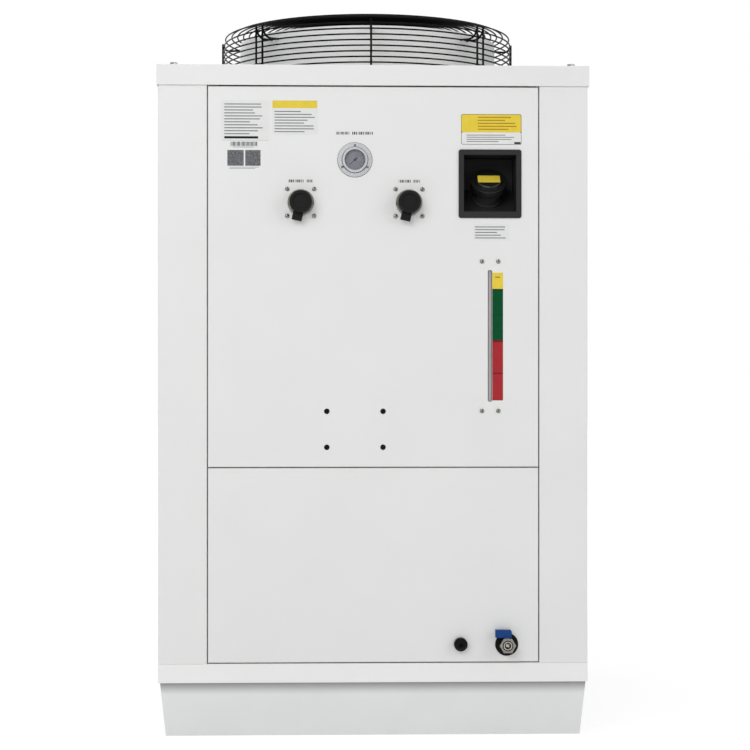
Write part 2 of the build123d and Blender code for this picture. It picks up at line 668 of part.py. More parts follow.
# Fan blades: lofted through three cambered sections, on a ring that fits the can
BLADE_ROOT = ROTOR_CAN / 2
BLADE_TIP = DUCT_DIAMETER / 2 - DUCT_SHEET - BLADE_TIP_GAP
BLADE_SECTIONS = (
    # radius, chord, pitch in degrees, camber, skew along the turn
    (BLADE_ROOT - 6, 82.0, 40.0, 9.0, 0.0),
    ((BLADE_ROOT + BLADE_TIP) / 2, 112.0, 30.0, 9.0, 12.0),
    (BLADE_TIP + 6, 140.0, 23.0, 8.0, 40.0),
)
BLADE_REACH = 60.0
with BuildPart() as fan_blades:
    with BuildPart(mode=Mode.PRIVATE) as blade:
        for radius, chord, pitch, camber, skew in BLADE_SECTIONS:
            slope = (0, cos(radians(pitch)), -sin(radians(pitch)))
            with BuildSketch(Plane(origin=(radius, skew, 0), x_dir=slope, z_dir=(1, 0, 0))):
                with BuildLine():
                    nose, tail = (chord / 2, 0), (-chord / 2, 0)
                    ThreePointArc(nose, (0, BLADE_SHEET / 2 - camber), tail)
                    ThreePointArc(tail, (0, -BLADE_SHEET / 2 - camber), nose)
                make_face()
        loft()
    with Locations(Plane((0, MIDDLE_Y, BLADE_HEIGHT))):
        with PolarLocations(0, BLADE_COUNT):
            add(blade.part)
    with BuildSketch(Plane((0, MIDDLE_Y, BLADE_HEIGHT - BLADE_REACH))):
        Circle(BLADE_TIP)
    extrude(amount=2 * BLADE_REACH, mode=Mode.INTERSECT)
    ring_height = BLADE_SECTIONS[0][1] * sin(radians(BLADE_SECTIONS[0][2])) + 8
    with BuildSketch(Plane((0, MIDDLE_Y, BLADE_HEIGHT - ring_height / 2 + 4))):
        Circle(BLADE_ROOT + BLADE_RING_WALL)
    extrude(amount=ring_height)
    with BuildSketch(Plane((0, MIDDLE_Y, CAN_BOTTOM - 40))):
        Circle(BLADE_ROOT)
    extrude(amount=ROTOR_CAN_HEIGHT + 80, mode=Mode.SUBTRACT)
save(fan_blades, "fan_blades")


def bulkhead_union(x):
    """A water port: a collar with a socket, a square flange behind the panel, a bored tail."""
    with BuildPart(mode=Mode.PRIVATE) as union:
        with BuildSketch(on_service(x, PORT_HEIGHT, -PANEL_SHEET)):
            Rectangle(PORT_FLANGE, PORT_FLANGE)
        extrude(amount=-PORT_FLANGE_SHEET)
        with BuildSketch(on_service(x, PORT_HEIGHT, COLLAR_PROUD)):
            Circle(COLLAR_DIAMETER / 2)
        extrude(amount=-COLLAR_PROUD - PANEL_SHEET)
        chamfer(union.edges().group_by(Axis.Y)[0], length=1.2)
        with BuildSketch(on_service(x, PORT_HEIGHT)):
            Circle(PORT_SOCKET / 2 + PORT_WALL)
        extrude(amount=-PORT_TAIL)
        with BuildSketch(on_service(x, PORT_HEIGHT, COLLAR_PROUD)):
            Circle(PORT_SOCKET / 2)
        extrude(amount=-PORT_SOCKET_DEPTH, mode=Mode.SUBTRACT)
        with BuildSketch(on_service(x, PORT_HEIGHT)):
            Circle(PORT_BORE / 2)
        extrude(amount=-PORT_TAIL, mode=Mode.SUBTRACT)
    return union.part


def port_plug(x):
    """A push-in plug: a stem in the socket, a rimmed head and a pull tab at its lower left."""
    seat = COLLAR_PROUD + SLIDING_GAP
    with BuildPart(mode=Mode.PRIVATE) as plug:
        with BuildSketch(on_service(x, PORT_HEIGHT, seat)):
            Circle(PLUG_DIAMETER / 2)
        extrude(amount=PLUG_PROUD - seat)
        with BuildSketch(on_service(x, PORT_HEIGHT, seat, PLUG_TURN)):
            with Locations((0, -25)):
                Rectangle(18, 17)
        extrude(amount=6)
        chamfer(plug.edges().group_by(Axis.Y)[0], length=1.5)
        with BuildSketch(on_service(x, PORT_HEIGHT, PLUG_PROUD)):
            Circle(14)
        extrude(amount=-3, mode=Mode.SUBTRACT)
        with BuildSketch(on_service(x, PORT_HEIGHT, seat)):
            Circle(PORT_SOCKET / 2 - SLIDING_GAP)
        extrude(amount=-PLUG_STEM)
    return plug.part


with BuildPart() as port_unions:
    add(bulkhead_union(OUTLET_X))
    add(bulkhead_union(INLET_X))
save(port_unions, "port_unions")

for x, name in ((OUTLET_X, "outlet"), (INLET_X, "inlet")):
    with BuildPart() as plug:
        add(port_plug(x))
    save(plug, f"{name}_plug")


def on_gauge(proud):
    return on_service(CENTRE_LINE, GAUGE_HEIGHT, proud)


# Gauge case: a cup with a three-hole flange in front of the panel and a stem behind
with BuildPart() as gauge_case:
    with BuildSketch(on_gauge(GAUGE_RIM)):
        Circle(GAUGE_CASE / 2)
    extrude(amount=-GAUGE_RIM - GAUGE_CASE_DEPTH)
    with BuildSketch(on_gauge(0)):
        Circle(GAUGE_FLANGE / 2)
        with PolarLocations(GAUGE_HOLE_CIRCLE / 2, 3, start_angle=90):
            Circle(GAUGE_HOLE / 2, mode=Mode.SUBTRACT)
    extrude(amount=GAUGE_FLANGE_SHEET)
    with BuildSketch(on_gauge(GAUGE_RIM)):
        Circle(GAUGE_CASE / 2 - GAUGE_WALL)
    extrude(amount=GAUGE_WALL - GAUGE_RIM - GAUGE_CASE_DEPTH, mode=Mode.SUBTRACT)
    with BuildSketch(on_gauge(-GAUGE_CASE_DEPTH)):
        Circle(6)
    extrude(amount=-16)
save(gauge_case, "gauge_case")

with BuildPart() as gauge_dial:
    with BuildSketch(on_gauge(0)):
        Circle(GAUGE_CASE / 2 - GAUGE_WALL)
        Circle(SPINDLE / 2 + SHAFT_GAP, mode=Mode.SUBTRACT)
    extrude(amount=-GAUGE_DIAL_SHEET)
save(gauge_dial, "gauge_dial")

# Gauge pointer: a tapered needle with a counterweight tail, on its spindle, resting at zero
with BuildPart() as gauge_pointer:
    with BuildSketch(on_service(CENTRE_LINE, GAUGE_HEIGHT, POINTER_LIFT, GAUGE_ZERO)):
        with BuildLine():
            Polyline((-5.5, -0.9), (0, -0.8), (13.5, -0.2), (13.5, 0.2), (0, 0.8), (-5.5, 0.9),
                     close=True)
        make_face()
        Circle(1.9)
    extrude(amount=POINTER_SHEET)
    with BuildSketch(on_gauge(POINTER_LIFT)):
        Circle(SPINDLE / 2)
    extrude(amount=-POINTER_LIFT - 4)
save(gauge_pointer, "gauge_pointer")

with BuildPart() as gauge_glass:
    with BuildSketch(on_gauge(GAUGE_RIM)):
        Circle(GAUGE_CASE / 2)
    extrude(amount=GAUGE_GLASS_SHEET)
save(gauge_glass, "gauge_glass")

# Gauge bezel: a ring rolled over the case's rim and the glass
with BuildPart() as gauge_bezel:
    with BuildSketch(on_gauge(GAUGE_FLANGE_SHEET)):
        Circle(GAUGE_BEZEL / 2)
    extrude(amount=GAUGE_BEZEL_HEIGHT)
    chamfer(gauge_bezel.edges().group_by(Axis.Y)[0], length=1.0)
    with BuildSketch(on_gauge(GAUGE_FLANGE_SHEET)):
        Circle(GAUGE_CASE / 2)
    extrude(amount=GAUGE_RIM + GAUGE_GLASS_SHEET - GAUGE_FLANGE_SHEET, mode=Mode.SUBTRACT)
    with BuildSketch(on_gauge(GAUGE_FLANGE_SHEET)):
        Circle(GAUGE_BEZEL_LIP / 2)
    extrude(amount=GAUGE_BEZEL_HEIGHT, mode=Mode.SUBTRACT)
save(gauge_bezel, "gauge_bezel")

# Fill neck's plane: on the slope at the back of the recess, looking up and out at 45 degrees
SLOPE_POINT = inside(FILL_X, NECK_DEPTH, RECESS_MOUTH_BOTTOM + NECK_DEPTH - RECESS_FLOOR)
ON_SLOPE = Plane(origin=SLOPE_POINT, x_dir=(1, 0, 0), z_dir=(0, -1, 1))

# Fill recess: a moulded box with a frame on the panel and a sloping seat for the neck
with BuildPart() as fill_recess:
    half = RECESS_MOUTH_WIDTH / 2
    middle = (RECESS_BOTTOM + RECESS_TOP) / 2
    with BuildSketch(Plane.YZ.offset(FILL_X - half - RECESS_WALL)) as pocket:
        with BuildLine():
            Polyline(
                (FACE_Y - RECESS_WALL / 2, RECESS_MOUTH_BOTTOM),
                (FACE_Y + RECESS_FLOOR, RECESS_MOUTH_BOTTOM),
                (FACE_Y + RECESS_DEPTH, RECESS_MOUTH_BOTTOM + RECESS_DEPTH - RECESS_FLOOR),
                (FACE_Y + RECESS_DEPTH, RECESS_MOUTH_TOP),
                (FACE_Y - RECESS_WALL / 2, RECESS_MOUTH_TOP),
                close=True,
            )
        make_face()
        offset(amount=RECESS_WALL, kind=Kind.INTERSECTION)
    extrude(amount=RECESS_MOUTH_WIDTH + 2 * RECESS_WALL)
    with BuildSketch(on_service(FILL_X, middle)):
        Rectangle(RECESS_WIDTH, RECESS_TOP - RECESS_BOTTOM)
    extrude(amount=2 * RECESS_WALL, mode=Mode.SUBTRACT)
    with BuildSketch(on_service(FILL_X, middle)):
        RectangleRounded(RECESS_WIDTH, RECESS_TOP - RECESS_BOTTOM, RECESS_FRAME_CORNER)
    extrude(amount=RECESS_FRAME)
    chamfer(fill_recess.edges().group_by(Axis.Y)[0], length=1.0)
    with BuildSketch(Plane.YZ.offset(FILL_X - half)):
        with BuildLine():
            Polyline(
                (FACE_Y - 2 * RECESS_FRAME, RECESS_MOUTH_BOTTOM),
                (FACE_Y + RECESS_FLOOR, RECESS_MOUTH_BOTTOM),
                (FACE_Y + RECESS_DEPTH, RECESS_MOUTH_BOTTOM + RECESS_DEPTH - RECESS_FLOOR),
                (FACE_Y + RECESS_DEPTH, RECESS_MOUTH_TOP),
                (FACE_Y - 2 * RECESS_FRAME, RECESS_MOUTH_TOP),
                close=True,
            )
        make_face()
    extrude(amount=RECESS_MOUTH_WIDTH, mode=Mode.SUBTRACT)
    with BuildSketch(ON_SLOPE.offset(1)):
        Circle(NECK_DIAMETER / 2 + SLIDING_GAP)
    extrude(amount=-2 * RECESS_WALL, mode=Mode.SUBTRACT)
save(fill_recess, "fill_recess")

# Fill neck: a threaded tube with a nut on the slope, cut level where it meets the tank
NECK_RUN = (SLOPE_POINT[2] - TANK_TOP) / sin(radians(45)) + NECK_DIAMETER
with BuildPart() as fill_neck:
    with BuildSketch(ON_SLOPE.offset(NECK_ABOVE_SLOPE)):
        Circle(NECK_DIAMETER / 2)
    extrude(amount=-NECK_ABOVE_SLOPE - NECK_RUN)
    with BuildSketch(ON_SLOPE):
        Circle(NECK_NUT / 2)
    extrude(amount=NECK_NUT_HEIGHT)
    with BuildSketch(ON_SLOPE.offset(NECK_ABOVE_SLOPE)):
        Circle(NECK_BORE / 2)
    extrude(amount=-NECK_ABOVE_SLOPE - NECK_RUN, mode=Mode.SUBTRACT)
    split(bisect_by=Plane.XY.offset(TANK_TOP), keep=Keep.TOP)
save(fill_neck, "fill_neck")

# Fill cap: a skirt round the neck, with a raised grip
CAP_TOP = NECK_ABOVE_SLOPE + SLIDING_GAP + CAP_TOP_SHEET
with BuildPart() as fill_cap:
    with BuildSketch(ON_SLOPE.offset(CAP_TOP - CAP_SKIRT)):
        Circle(CAP_DIAMETER / 2)
    extrude(amount=CAP_SKIRT)
    with BuildSketch(ON_SLOPE.offset(CAP_TOP)):
        RegularPolygon(CAP_GRIP / 2, 12)
    extrude(amount=CAP_GRIP_HEIGHT)
    out = Axis(ON_SLOPE.origin, ON_SLOPE.z_dir)
    chamfer(fill_cap.faces().sort_by(out)[-1].edges(), length=1.5)
    with BuildSketch(ON_SLOPE.offset(CAP_TOP - CAP_SKIRT)):
        Circle(NECK_DIAMETER / 2 + SLIDING_GAP)
    extrude(amount=CAP_SKIRT - CAP_TOP_SHEET, mode=Mode.SUBTRACT)
save(fill_cap, "fill_cap")

# Water tank: a moulded shell on the shelf, open only under the neck
with BuildPart() as water_tank:
    tank_centre = inside(TANK_LEFT + TANK_WIDTH / 2, TANK_FRONT + TANK_DEPTH / 2, SHELF_TOP)
    with BuildSketch(Plane(tank_centre)):
        RectangleRounded(TANK_WIDTH, TANK_DEPTH, TANK_CORNER)
    extrude(amount=TANK_TOP - SHELF_TOP)
    with BuildSketch(Plane(tank_centre).offset(TANK_WALL)):
        wall = 2 * TANK_WALL
        RectangleRounded(TANK_WIDTH - wall, TANK_DEPTH - wall, TANK_CORNER - TANK_WALL)
    extrude(amount=TANK_TOP - SHELF_TOP - wall, mode=Mode.SUBTRACT)
    with BuildSketch(ON_SLOPE):
        Circle(NECK_BORE / 2)
    extrude(amount=-NECK_RUN - 20, mode=Mode.SUBTRACT)
save(water_tank, "water_tank")

# Level channel: a folded channel with side flanges, behind the slot
LEVEL_MIDDLE = (LEVEL_CHANNEL_BOTTOM + LEVEL_CHANNEL_TOP) / 2
TUBE_DEPTH = PANEL_SHEET + LEVEL_CHANNEL_DEPTH / 2
FITTING_HEIGHTS = (LEVEL_SLOT_BOTTOM - LEVEL_FITTING_HEIGHT, LEVEL_SLOT_TOP)
with BuildPart() as level_channel:
    back = PANEL_SHEET + LEVEL_CHANNEL_DEPTH
    tall = LEVEL_CHANNEL_TOP - LEVEL_CHANNEL_BOTTOM
    with BuildSketch(on_service(LEVEL_X, LEVEL_MIDDLE, -PANEL_SHEET)):
        Rectangle(LEVEL_CHANNEL_WIDTH, tall)
    extrude(amount=-PANEL_SHEET)
    with BuildSketch(on_service(LEVEL_X, LEVEL_MIDDLE, -PANEL_SHEET)):
        Rectangle(LEVEL_CHANNEL_INSIDE + 2 * PANEL_SHEET, tall)
    extrude(amount=-LEVEL_CHANNEL_DEPTH)
    with BuildSketch(on_service(LEVEL_X, LEVEL_MIDDLE, -PANEL_SHEET)):
        Rectangle(LEVEL_CHANNEL_INSIDE, tall)
    extrude(amount=PANEL_SHEET - LEVEL_CHANNEL_DEPTH, mode=Mode.SUBTRACT)
    with BuildSketch(on_service(LEVEL_X, 0, -back)):
        with Locations(*[(0, z + LEVEL_FITTING_HEIGHT / 2) for z in FITTING_HEIGHTS]):
            Circle(LEVEL_SPIGOT / 2 + THREAD_GAP)
    extrude(amount=PANEL_SHEET * 2, mode=Mode.SUBTRACT)
save(level_channel, "level_channel")

# Level fittings: an elbow block at each end of the tube, with a spigot to the tank
with BuildPart() as level_fittings:
    for z in FITTING_HEIGHTS:
        with BuildSketch(Plane(inside(LEVEL_X, TUBE_DEPTH, z))):
            Rectangle(LEVEL_CHANNEL_INSIDE - 2, LEVEL_TUBE + 2)
        extrude(amount=LEVEL_FITTING_HEIGHT)
        with BuildSketch(on_service(LEVEL_X, z + LEVEL_FITTING_HEIGHT / 2, -TUBE_DEPTH)):
            Circle(LEVEL_SPIGOT / 2)
        extrude(amount=TUBE_DEPTH - TANK_FRONT)
save(level_fittings, "level_fittings")

with BuildPart() as level_tube:
    with BuildSketch(Plane(inside(LEVEL_X, TUBE_DEPTH, LEVEL_SLOT_BOTTOM))):
        Circle(LEVEL_TUBE / 2)
        Circle(LEVEL_TUBE / 2 - LEVEL_TUBE_WALL, mode=Mode.SUBTRACT)
    extrude(amount=LEVEL_SLOT_TOP - LEVEL_SLOT_BOTTOM)
save(level_tube, "level_tube")

# Cable gland: a threaded body through the panel, a domed nut in front and a locknut behind
with BuildPart() as cable_gland:
    with BuildSketch(on_service(GLAND_X, GLAND_HEIGHT, GLAND_PROUD)):
        Circle(GLAND_NUT / 2)
    extrude(amount=-GLAND_PROUD)
    chamfer(cable_gland.edges().group_by(Axis.Y)[0], length=4)
    with BuildSketch(on_service(GLAND_X, GLAND_HEIGHT)):
        Circle(GLAND_THREAD / 2)
    extrude(amount=-GLAND_TAIL)
    with BuildSketch(on_service(GLAND_X, GLAND_HEIGHT, GLAND_PROUD)):
        Circle(GLAND_BORE / 2)
    extrude(amount=-8, mode=Mode.SUBTRACT)
save(cable_gland, "cable_gland")

with BuildPart() as gland_locknut:
    with BuildSketch(on_service(GLAND_X, GLAND_HEIGHT, -PANEL_SHEET)):
        RegularPolygon(LOCKNUT_FLATS / 2, 6, major_radius=False)
        Circle(GLAND_THREAD / 2, mode=Mode.SUBTRACT)
    extrude(amount=-LOCKNUT_HEIGHT)
save(gland_locknut, "gland_locknut")


def on_drain(proud):
    return on_service(DRAIN_X, DRAIN_HEIGHT, proud)


# Drain grommet: a rubber ring that grips the panel's edge, round the valve
with BuildPart() as drain_grommet:
    with BuildSketch(on_drain(GROMMET_PROUD)):
        Circle(GROMMET_DIAMETER / 2)
    extrude(amount=-GROMMET_PROUD)
    chamfer(drain_grommet.edges().group_by(Axis.Y)[0], length=1.2)
    with BuildSketch(on_drain(0)):
        Circle(GROMMET_NECK / 2)
    extrude(amount=-PANEL_SHEET)
    with BuildSketch(on_drain(-PANEL_SHEET)):
        Circle(GROMMET_DIAMETER / 2)
    extrude(amount=-2.5)
    with BuildSketch(on_drain(GROMMET_PROUD)):
        Circle(VALVE_BODY / 2 + SLIDING_GAP)
    extrude(amount=-20, mode=Mode.SUBTRACT)
save(drain_grommet, "drain_grommet")

# Drain valve body: a turned barrel with a hexagon mouth, a ball chamber and a stem boss
CHAMBER = BALL / 2 + SLIDING_GAP
BOSS_TOP = DRAIN_HEIGHT + VALVE_FLATS / 2 + SLIDING_GAP
with BuildPart() as valve_body:
    with BuildSketch(on_drain(VALVE_PROUD - VALVE_HEX_LENGTH)):
        Circle(VALVE_BODY / 2)
    extrude(amount=VALVE_HEX_LENGTH - VALVE_PROUD - VALVE_BACK)
    with BuildSketch(on_drain(VALVE_PROUD)):
        RegularPolygon(VALVE_FLATS / 2, 6, major_radius=False)
    extrude(amount=-VALVE_HEX_LENGTH)
    with BuildSketch(Plane((DRAIN_X, FACE_Y - STEM_PROUD, DRAIN_HEIGHT))):
        Circle(STEM / 2 + 2)
    extrude(amount=BOSS_TOP - DRAIN_HEIGHT)
    with BuildSketch(on_drain(STEM_PROUD + CHAMBER)):
        Circle(CHAMBER)
    extrude(amount=-40, mode=Mode.SUBTRACT)
    with BuildSketch(on_drain(VALVE_PROUD)):
        Circle(VALVE_BORE / 2)
    extrude(amount=-VALVE_PROUD, mode=Mode.SUBTRACT)
    with BuildSketch(Plane((DRAIN_X, FACE_Y - STEM_PROUD, DRAIN_HEIGHT))):
        Circle(STEM / 2 + SHAFT_GAP)
    extrude(amount=VALVE_BODY, mode=Mode.SUBTRACT)
save(valve_body, "valve_body")

# Valve tail: the screwed-in end that closes the chamber and takes the drain pipe
with BuildPart() as valve_tail:
    with BuildSketch(on_drain(STEM_PROUD - CHAMBER)):
        Circle(CHAMBER)
        Circle(VALVE_BORE / 2, mode=Mode.SUBTRACT)
    extrude(amount=CHAMBER - STEM_PROUD - DRAIN_TAIL)
save(valve_tail, "valve_tail")

# Valve ball, bored across the flow while the valve is shut, with its stem up to the lever
with BuildPart() as valve_ball:
    with Locations((DRAIN_X, FACE_Y - STEM_PROUD, DRAIN_HEIGHT)):
        Sphere(BALL / 2)
        Cylinder(VALVE_BORE / 2, BALL, rotation=(0, 90, 0), mode=Mode.SUBTRACT)
    with BuildSketch(Plane((DRAIN_X, FACE_Y - STEM_PROUD, DRAIN_HEIGHT + VALVE_BORE / 2 + 1))):
        Circle(STEM / 2)
    extrude(amount=BOSS_TOP + LEVER_HEIGHT - DRAIN_HEIGHT - VALVE_BORE / 2 - 4)
save(valve_ball, "valve_ball")

# Drain lever: a moulded handle that points along the face while the valve is shut
LEVER_BOTTOM = BOSS_TOP + SLIDING_GAP
with BuildPart() as drain_lever:
    with BuildSketch(on_drain(STEM_PROUD + LEVER_THICKNESS / 2)):
        with Locations(((LEVER_NOSE - LEVER_TAIL) / 2, LEVER_BOTTOM + LEVER_HEIGHT / 2 - DRAIN_HEIGHT)):
            Rectangle(LEVER_NOSE + LEVER_TAIL, LEVER_HEIGHT)
    extrude(amount=-LEVER_THICKNESS)
    nose = drain_lever.edges().filter_by(Axis.Y).group_by(Axis.X)[-1].sort_by(Axis.Z)[-1]
    fillet(nose, radius=4)
    fillet(drain_lever.edges().filter_by(Axis.Y).group_by(Axis.X)[0], radius=1)
    with BuildSketch(Plane((DRAIN_X, FACE_Y - STEM_PROUD, LEVER_BOTTOM))):
        Circle(STEM / 2)
    extrude(amount=LEVER_HEIGHT - 2.5, mode=Mode.SUBTRACT)
save(drain_lever, "drain_lever")


def bent_pipe(points, bend, diameter, bore=0.0):
    """A pipe along straight runs, with each corner cut across at 45 degrees."""
    points = [Vector(*point) for point in points]
    line = [points[0]]
    for before, corner, after in zip(points, points[1:], points[2:]):
        line.append(corner + (before - corner).normalized() * bend)
        line.append(corner + (after - corner).normalized() * bend)
    line.append(points[-1])
    with BuildPart(mode=Mode.PRIVATE) as pipe:
        with BuildLine() as route:
            Polyline(*line)
        with BuildSketch(Plane(origin=line[0], z_dir=line[1] - line[0])):
            Circle(diameter / 2)
            if bore:
                Circle(bore / 2, mode=Mode.SUBTRACT)
        sweep(path=route.wire(), transition=Transition.RIGHT)
    return pipe.part


EVAPORATOR_X = INLET_X + EVAPORATOR_PORT_PITCH / 2
FEED_X = EVAPORATOR_X + EVAPORATOR_PORT_PITCH / 2
PUMP_AXIS = BAND_TOP + PUMP_HEIGHT
DISCHARGE_TOP = PUMP_AXIS + VOLUTE_DIAMETER / 2 + 18
STUB_TOP = EVAPORATOR_TOP + STUB_LENGTH
SUCTION_X = 200.0
SUCTION_FROM_FACE = 250.0
SUCTION_TURN_X = -280.0
PUMP_INLET_X = OUTLET_X - VOLUTE_LENGTH / 2 - 30
RUN_HEIGHT = 452.0
HEADER_FROM_FACE = BODY_DEPTH / 2 + COIL_LENGTH / 2 + HEADER / 2
COIL_X = HALF_WIDTH - COIL_FROM_SIDE - COIL_THICKNESS / 2
COMPRESSOR_BOTTOM = BAND_TOP + RUBBER_FOOT_HEIGHT
COMPRESSOR_TOP = COMPRESSOR_BOTTOM + COMPRESSOR_PLATE_SHEET + COMPRESSOR_HEIGHT
BRIDGE_HEIGHT = 1080.0
GAS_HEIGHT = 900.0
LIQUID_HEIGHT = 560.0
PIPE_CLEARANCE = 4.0

# Shelf across the rails, with holes where the pipes pass
with BuildPart() as shelf:
    with BuildSketch(Plane((0, FACE_Y, SHELF_BOTTOM))):
        with Locations((0, BODY_DEPTH / 2)):
            Rectangle(BODY_WIDTH - 2 * SHELF_MARGIN, BODY_DEPTH - 2 * SHELF_MARGIN)
        for x, depth, size in (
            (OUTLET_X, PUMP_FROM_FACE, WATER_PIPE),
            (INLET_X, PUMP_FROM_FACE, WATER_PIPE),
            (FEED_X, EVAPORATOR_FROM_FACE, WATER_PIPE),
            (SUCTION_X, SUCTION_FROM_FACE, WATER_PIPE),
            (DRAIN_X, PUMP_FROM_FACE, GAS_PIPE),
            (COMPRESSOR_X, COMPRESSOR_FROM_FACE, GAS_PIPE),
            (EVAPORATOR_X, HEADER_FROM_FACE, LIQUID_PIPE),
        ):
            with Locations((x, depth)):
                Circle(size / 2 + PIPE_CLEARANCE, mode=Mode.SUBTRACT)
    extrude(amount=FRAME_SHEET)
save(shelf, "shelf")

# Water pipes
WATER_PIPES = {
    "supply_pipe": (
        (OUTLET_X, PUMP_FROM_FACE, DISCHARGE_TOP),
        (OUTLET_X, PUMP_FROM_FACE, PORT_HEIGHT),
        (OUTLET_X, PORT_TAIL, PORT_HEIGHT),
    ),
    "return_pipe": (
        (INLET_X, PORT_TAIL, PORT_HEIGHT),
        (INLET_X, PUMP_FROM_FACE, PORT_HEIGHT),
        (INLET_X, PUMP_FROM_FACE, RUN_HEIGHT),
        (INLET_X, EVAPORATOR_FROM_FACE, RUN_HEIGHT),
        (INLET_X, EVAPORATOR_FROM_FACE, STUB_TOP),
    ),
    "tank_feed_pipe": (
        (FEED_X, EVAPORATOR_FROM_FACE, STUB_TOP),
        (FEED_X, EVAPORATOR_FROM_FACE, SHELF_TOP),
    ),
    "suction_pipe": (
        (SUCTION_X, SUCTION_FROM_FACE, SHELF_TOP),
        (SUCTION_X, SUCTION_FROM_FACE, PUMP_AXIS),
        (SUCTION_TURN_X, SUCTION_FROM_FACE, PUMP_AXIS),
        (SUCTION_TURN_X, PUMP_FROM_FACE, PUMP_AXIS),
        (PUMP_INLET_X, PUMP_FROM_FACE, PUMP_AXIS),
    ),
}
for name, route in WATER_PIPES.items():
    with BuildPart() as pipe:
        add(bent_pipe([inside(*point) for point in route], 30.0, WATER_PIPE, WATER_BORE))
    save(pipe, name)

with BuildPart() as drain_pipe:
    route = (
        (DRAIN_X, DRAIN_TAIL, DRAIN_HEIGHT),
        (DRAIN_X, PUMP_FROM_FACE, DRAIN_HEIGHT),
        (DRAIN_X, PUMP_FROM_FACE, SHELF_TOP),
    )
    add(bent_pipe([inside(*point) for point in route], 40.0, GAS_PIPE))
save(drain_pipe, "drain_pipe")

# Condenser coils: a finned block between end plates, with a header at the control end
with BuildPart() as condenser_coils:
    for side in (-1, 1):
        with BuildSketch(Plane((side * COIL_X, MIDDLE_Y, SHELF_TOP))):
            Rectangle(COIL_THICKNESS - 2 * COIL_PLATE, COIL_LENGTH)
        extrude(amount=COIL_TOP - SHELF_TOP)
        with BuildSketch(Plane((side * COIL_X, MIDDLE_Y, SHELF_TOP))):
            with GridLocations(0, COIL_LENGTH - COIL_PLATE, 1, 2):
                Rectangle(COIL_THICKNESS, COIL_PLATE)
        extrude(amount=COIL_TOP - SHELF_TOP)
        for low in (SHELF_TOP, COIL_TOP - COIL_PLATE):
            with BuildSketch(Plane((side * COIL_X, MIDDLE_Y, low))):
                Rectangle(COIL_THICKNESS, COIL_LENGTH)
            extrude(amount=COIL_PLATE)
        with BuildSketch(Plane(inside(side * COIL_X, HEADER_FROM_FACE, SHELF_TOP + 30))):
            Circle(HEADER / 2 + 0.5)
        extrude(amount=COIL_TOP - SHELF_TOP - 60)
save(condenser_coils, "condenser_coils")

# Compressor: a welded shell on a plate, with its terminal box
with BuildPart() as compressor:
    foot = inside(COMPRESSOR_X, COMPRESSOR_FROM_FACE, COMPRESSOR_BOTTOM)
    with BuildSketch(Plane(foot)):
        Rectangle(COMPRESSOR_PLATE, COMPRESSOR_PLATE)
    extrude(amount=COMPRESSOR_PLATE_SHEET)
    with BuildSketch(Plane(foot).offset(COMPRESSOR_PLATE_SHEET)):
        Circle(COMPRESSOR_DIAMETER / 2)
    extrude(amount=COMPRESSOR_HEIGHT)
    chamfer(compressor.faces().sort_by(Axis.Z)[-1].edges(), length=28)
    with BuildSketch(Plane(foot).offset(COMPRESSOR_HEIGHT / 2)):
        with Locations((-COMPRESSOR_DIAMETER / 2 - 8, 0)):
            Rectangle(44, 70)
    extrude(amount=90)
save(compressor, "compressor")

with BuildPart() as compressor_feet:
    with BuildSketch(Plane(inside(COMPRESSOR_X, COMPRESSOR_FROM_FACE, BAND_TOP))):
        pitch = COMPRESSOR_PLATE - RUBBER_FOOT - 8
        with GridLocations(pitch, pitch, 2, 2):
            Circle(RUBBER_FOOT / 2)
    extrude(amount=RUBBER_FOOT_HEIGHT)
save(compressor_feet, "compressor_feet")

# Evaporator: a brazed plate pack on two angles, with its water stubs on top
with BuildPart() as evaporator:
    foot = inside(EVAPORATOR_X, EVAPORATOR_FROM_FACE, BAND_TOP)
    with BuildSketch(Plane(foot)):
        Rectangle(EVAPORATOR_WIDTH, EVAPORATOR_DEPTH)
    extrude(amount=EVAPORATOR_TOP - BAND_TOP)
    chamfer(evaporator.edges().filter_by(Axis.Z), length=10)
    with BuildSketch(Plane(foot).offset(EVAPORATOR_TOP - BAND_TOP)):
        with GridLocations(EVAPORATOR_PORT_PITCH, 0, 2, 1):
            Circle(WATER_PIPE / 2 - 2)
    extrude(amount=STUB_LENGTH)
save(evaporator, "evaporator")

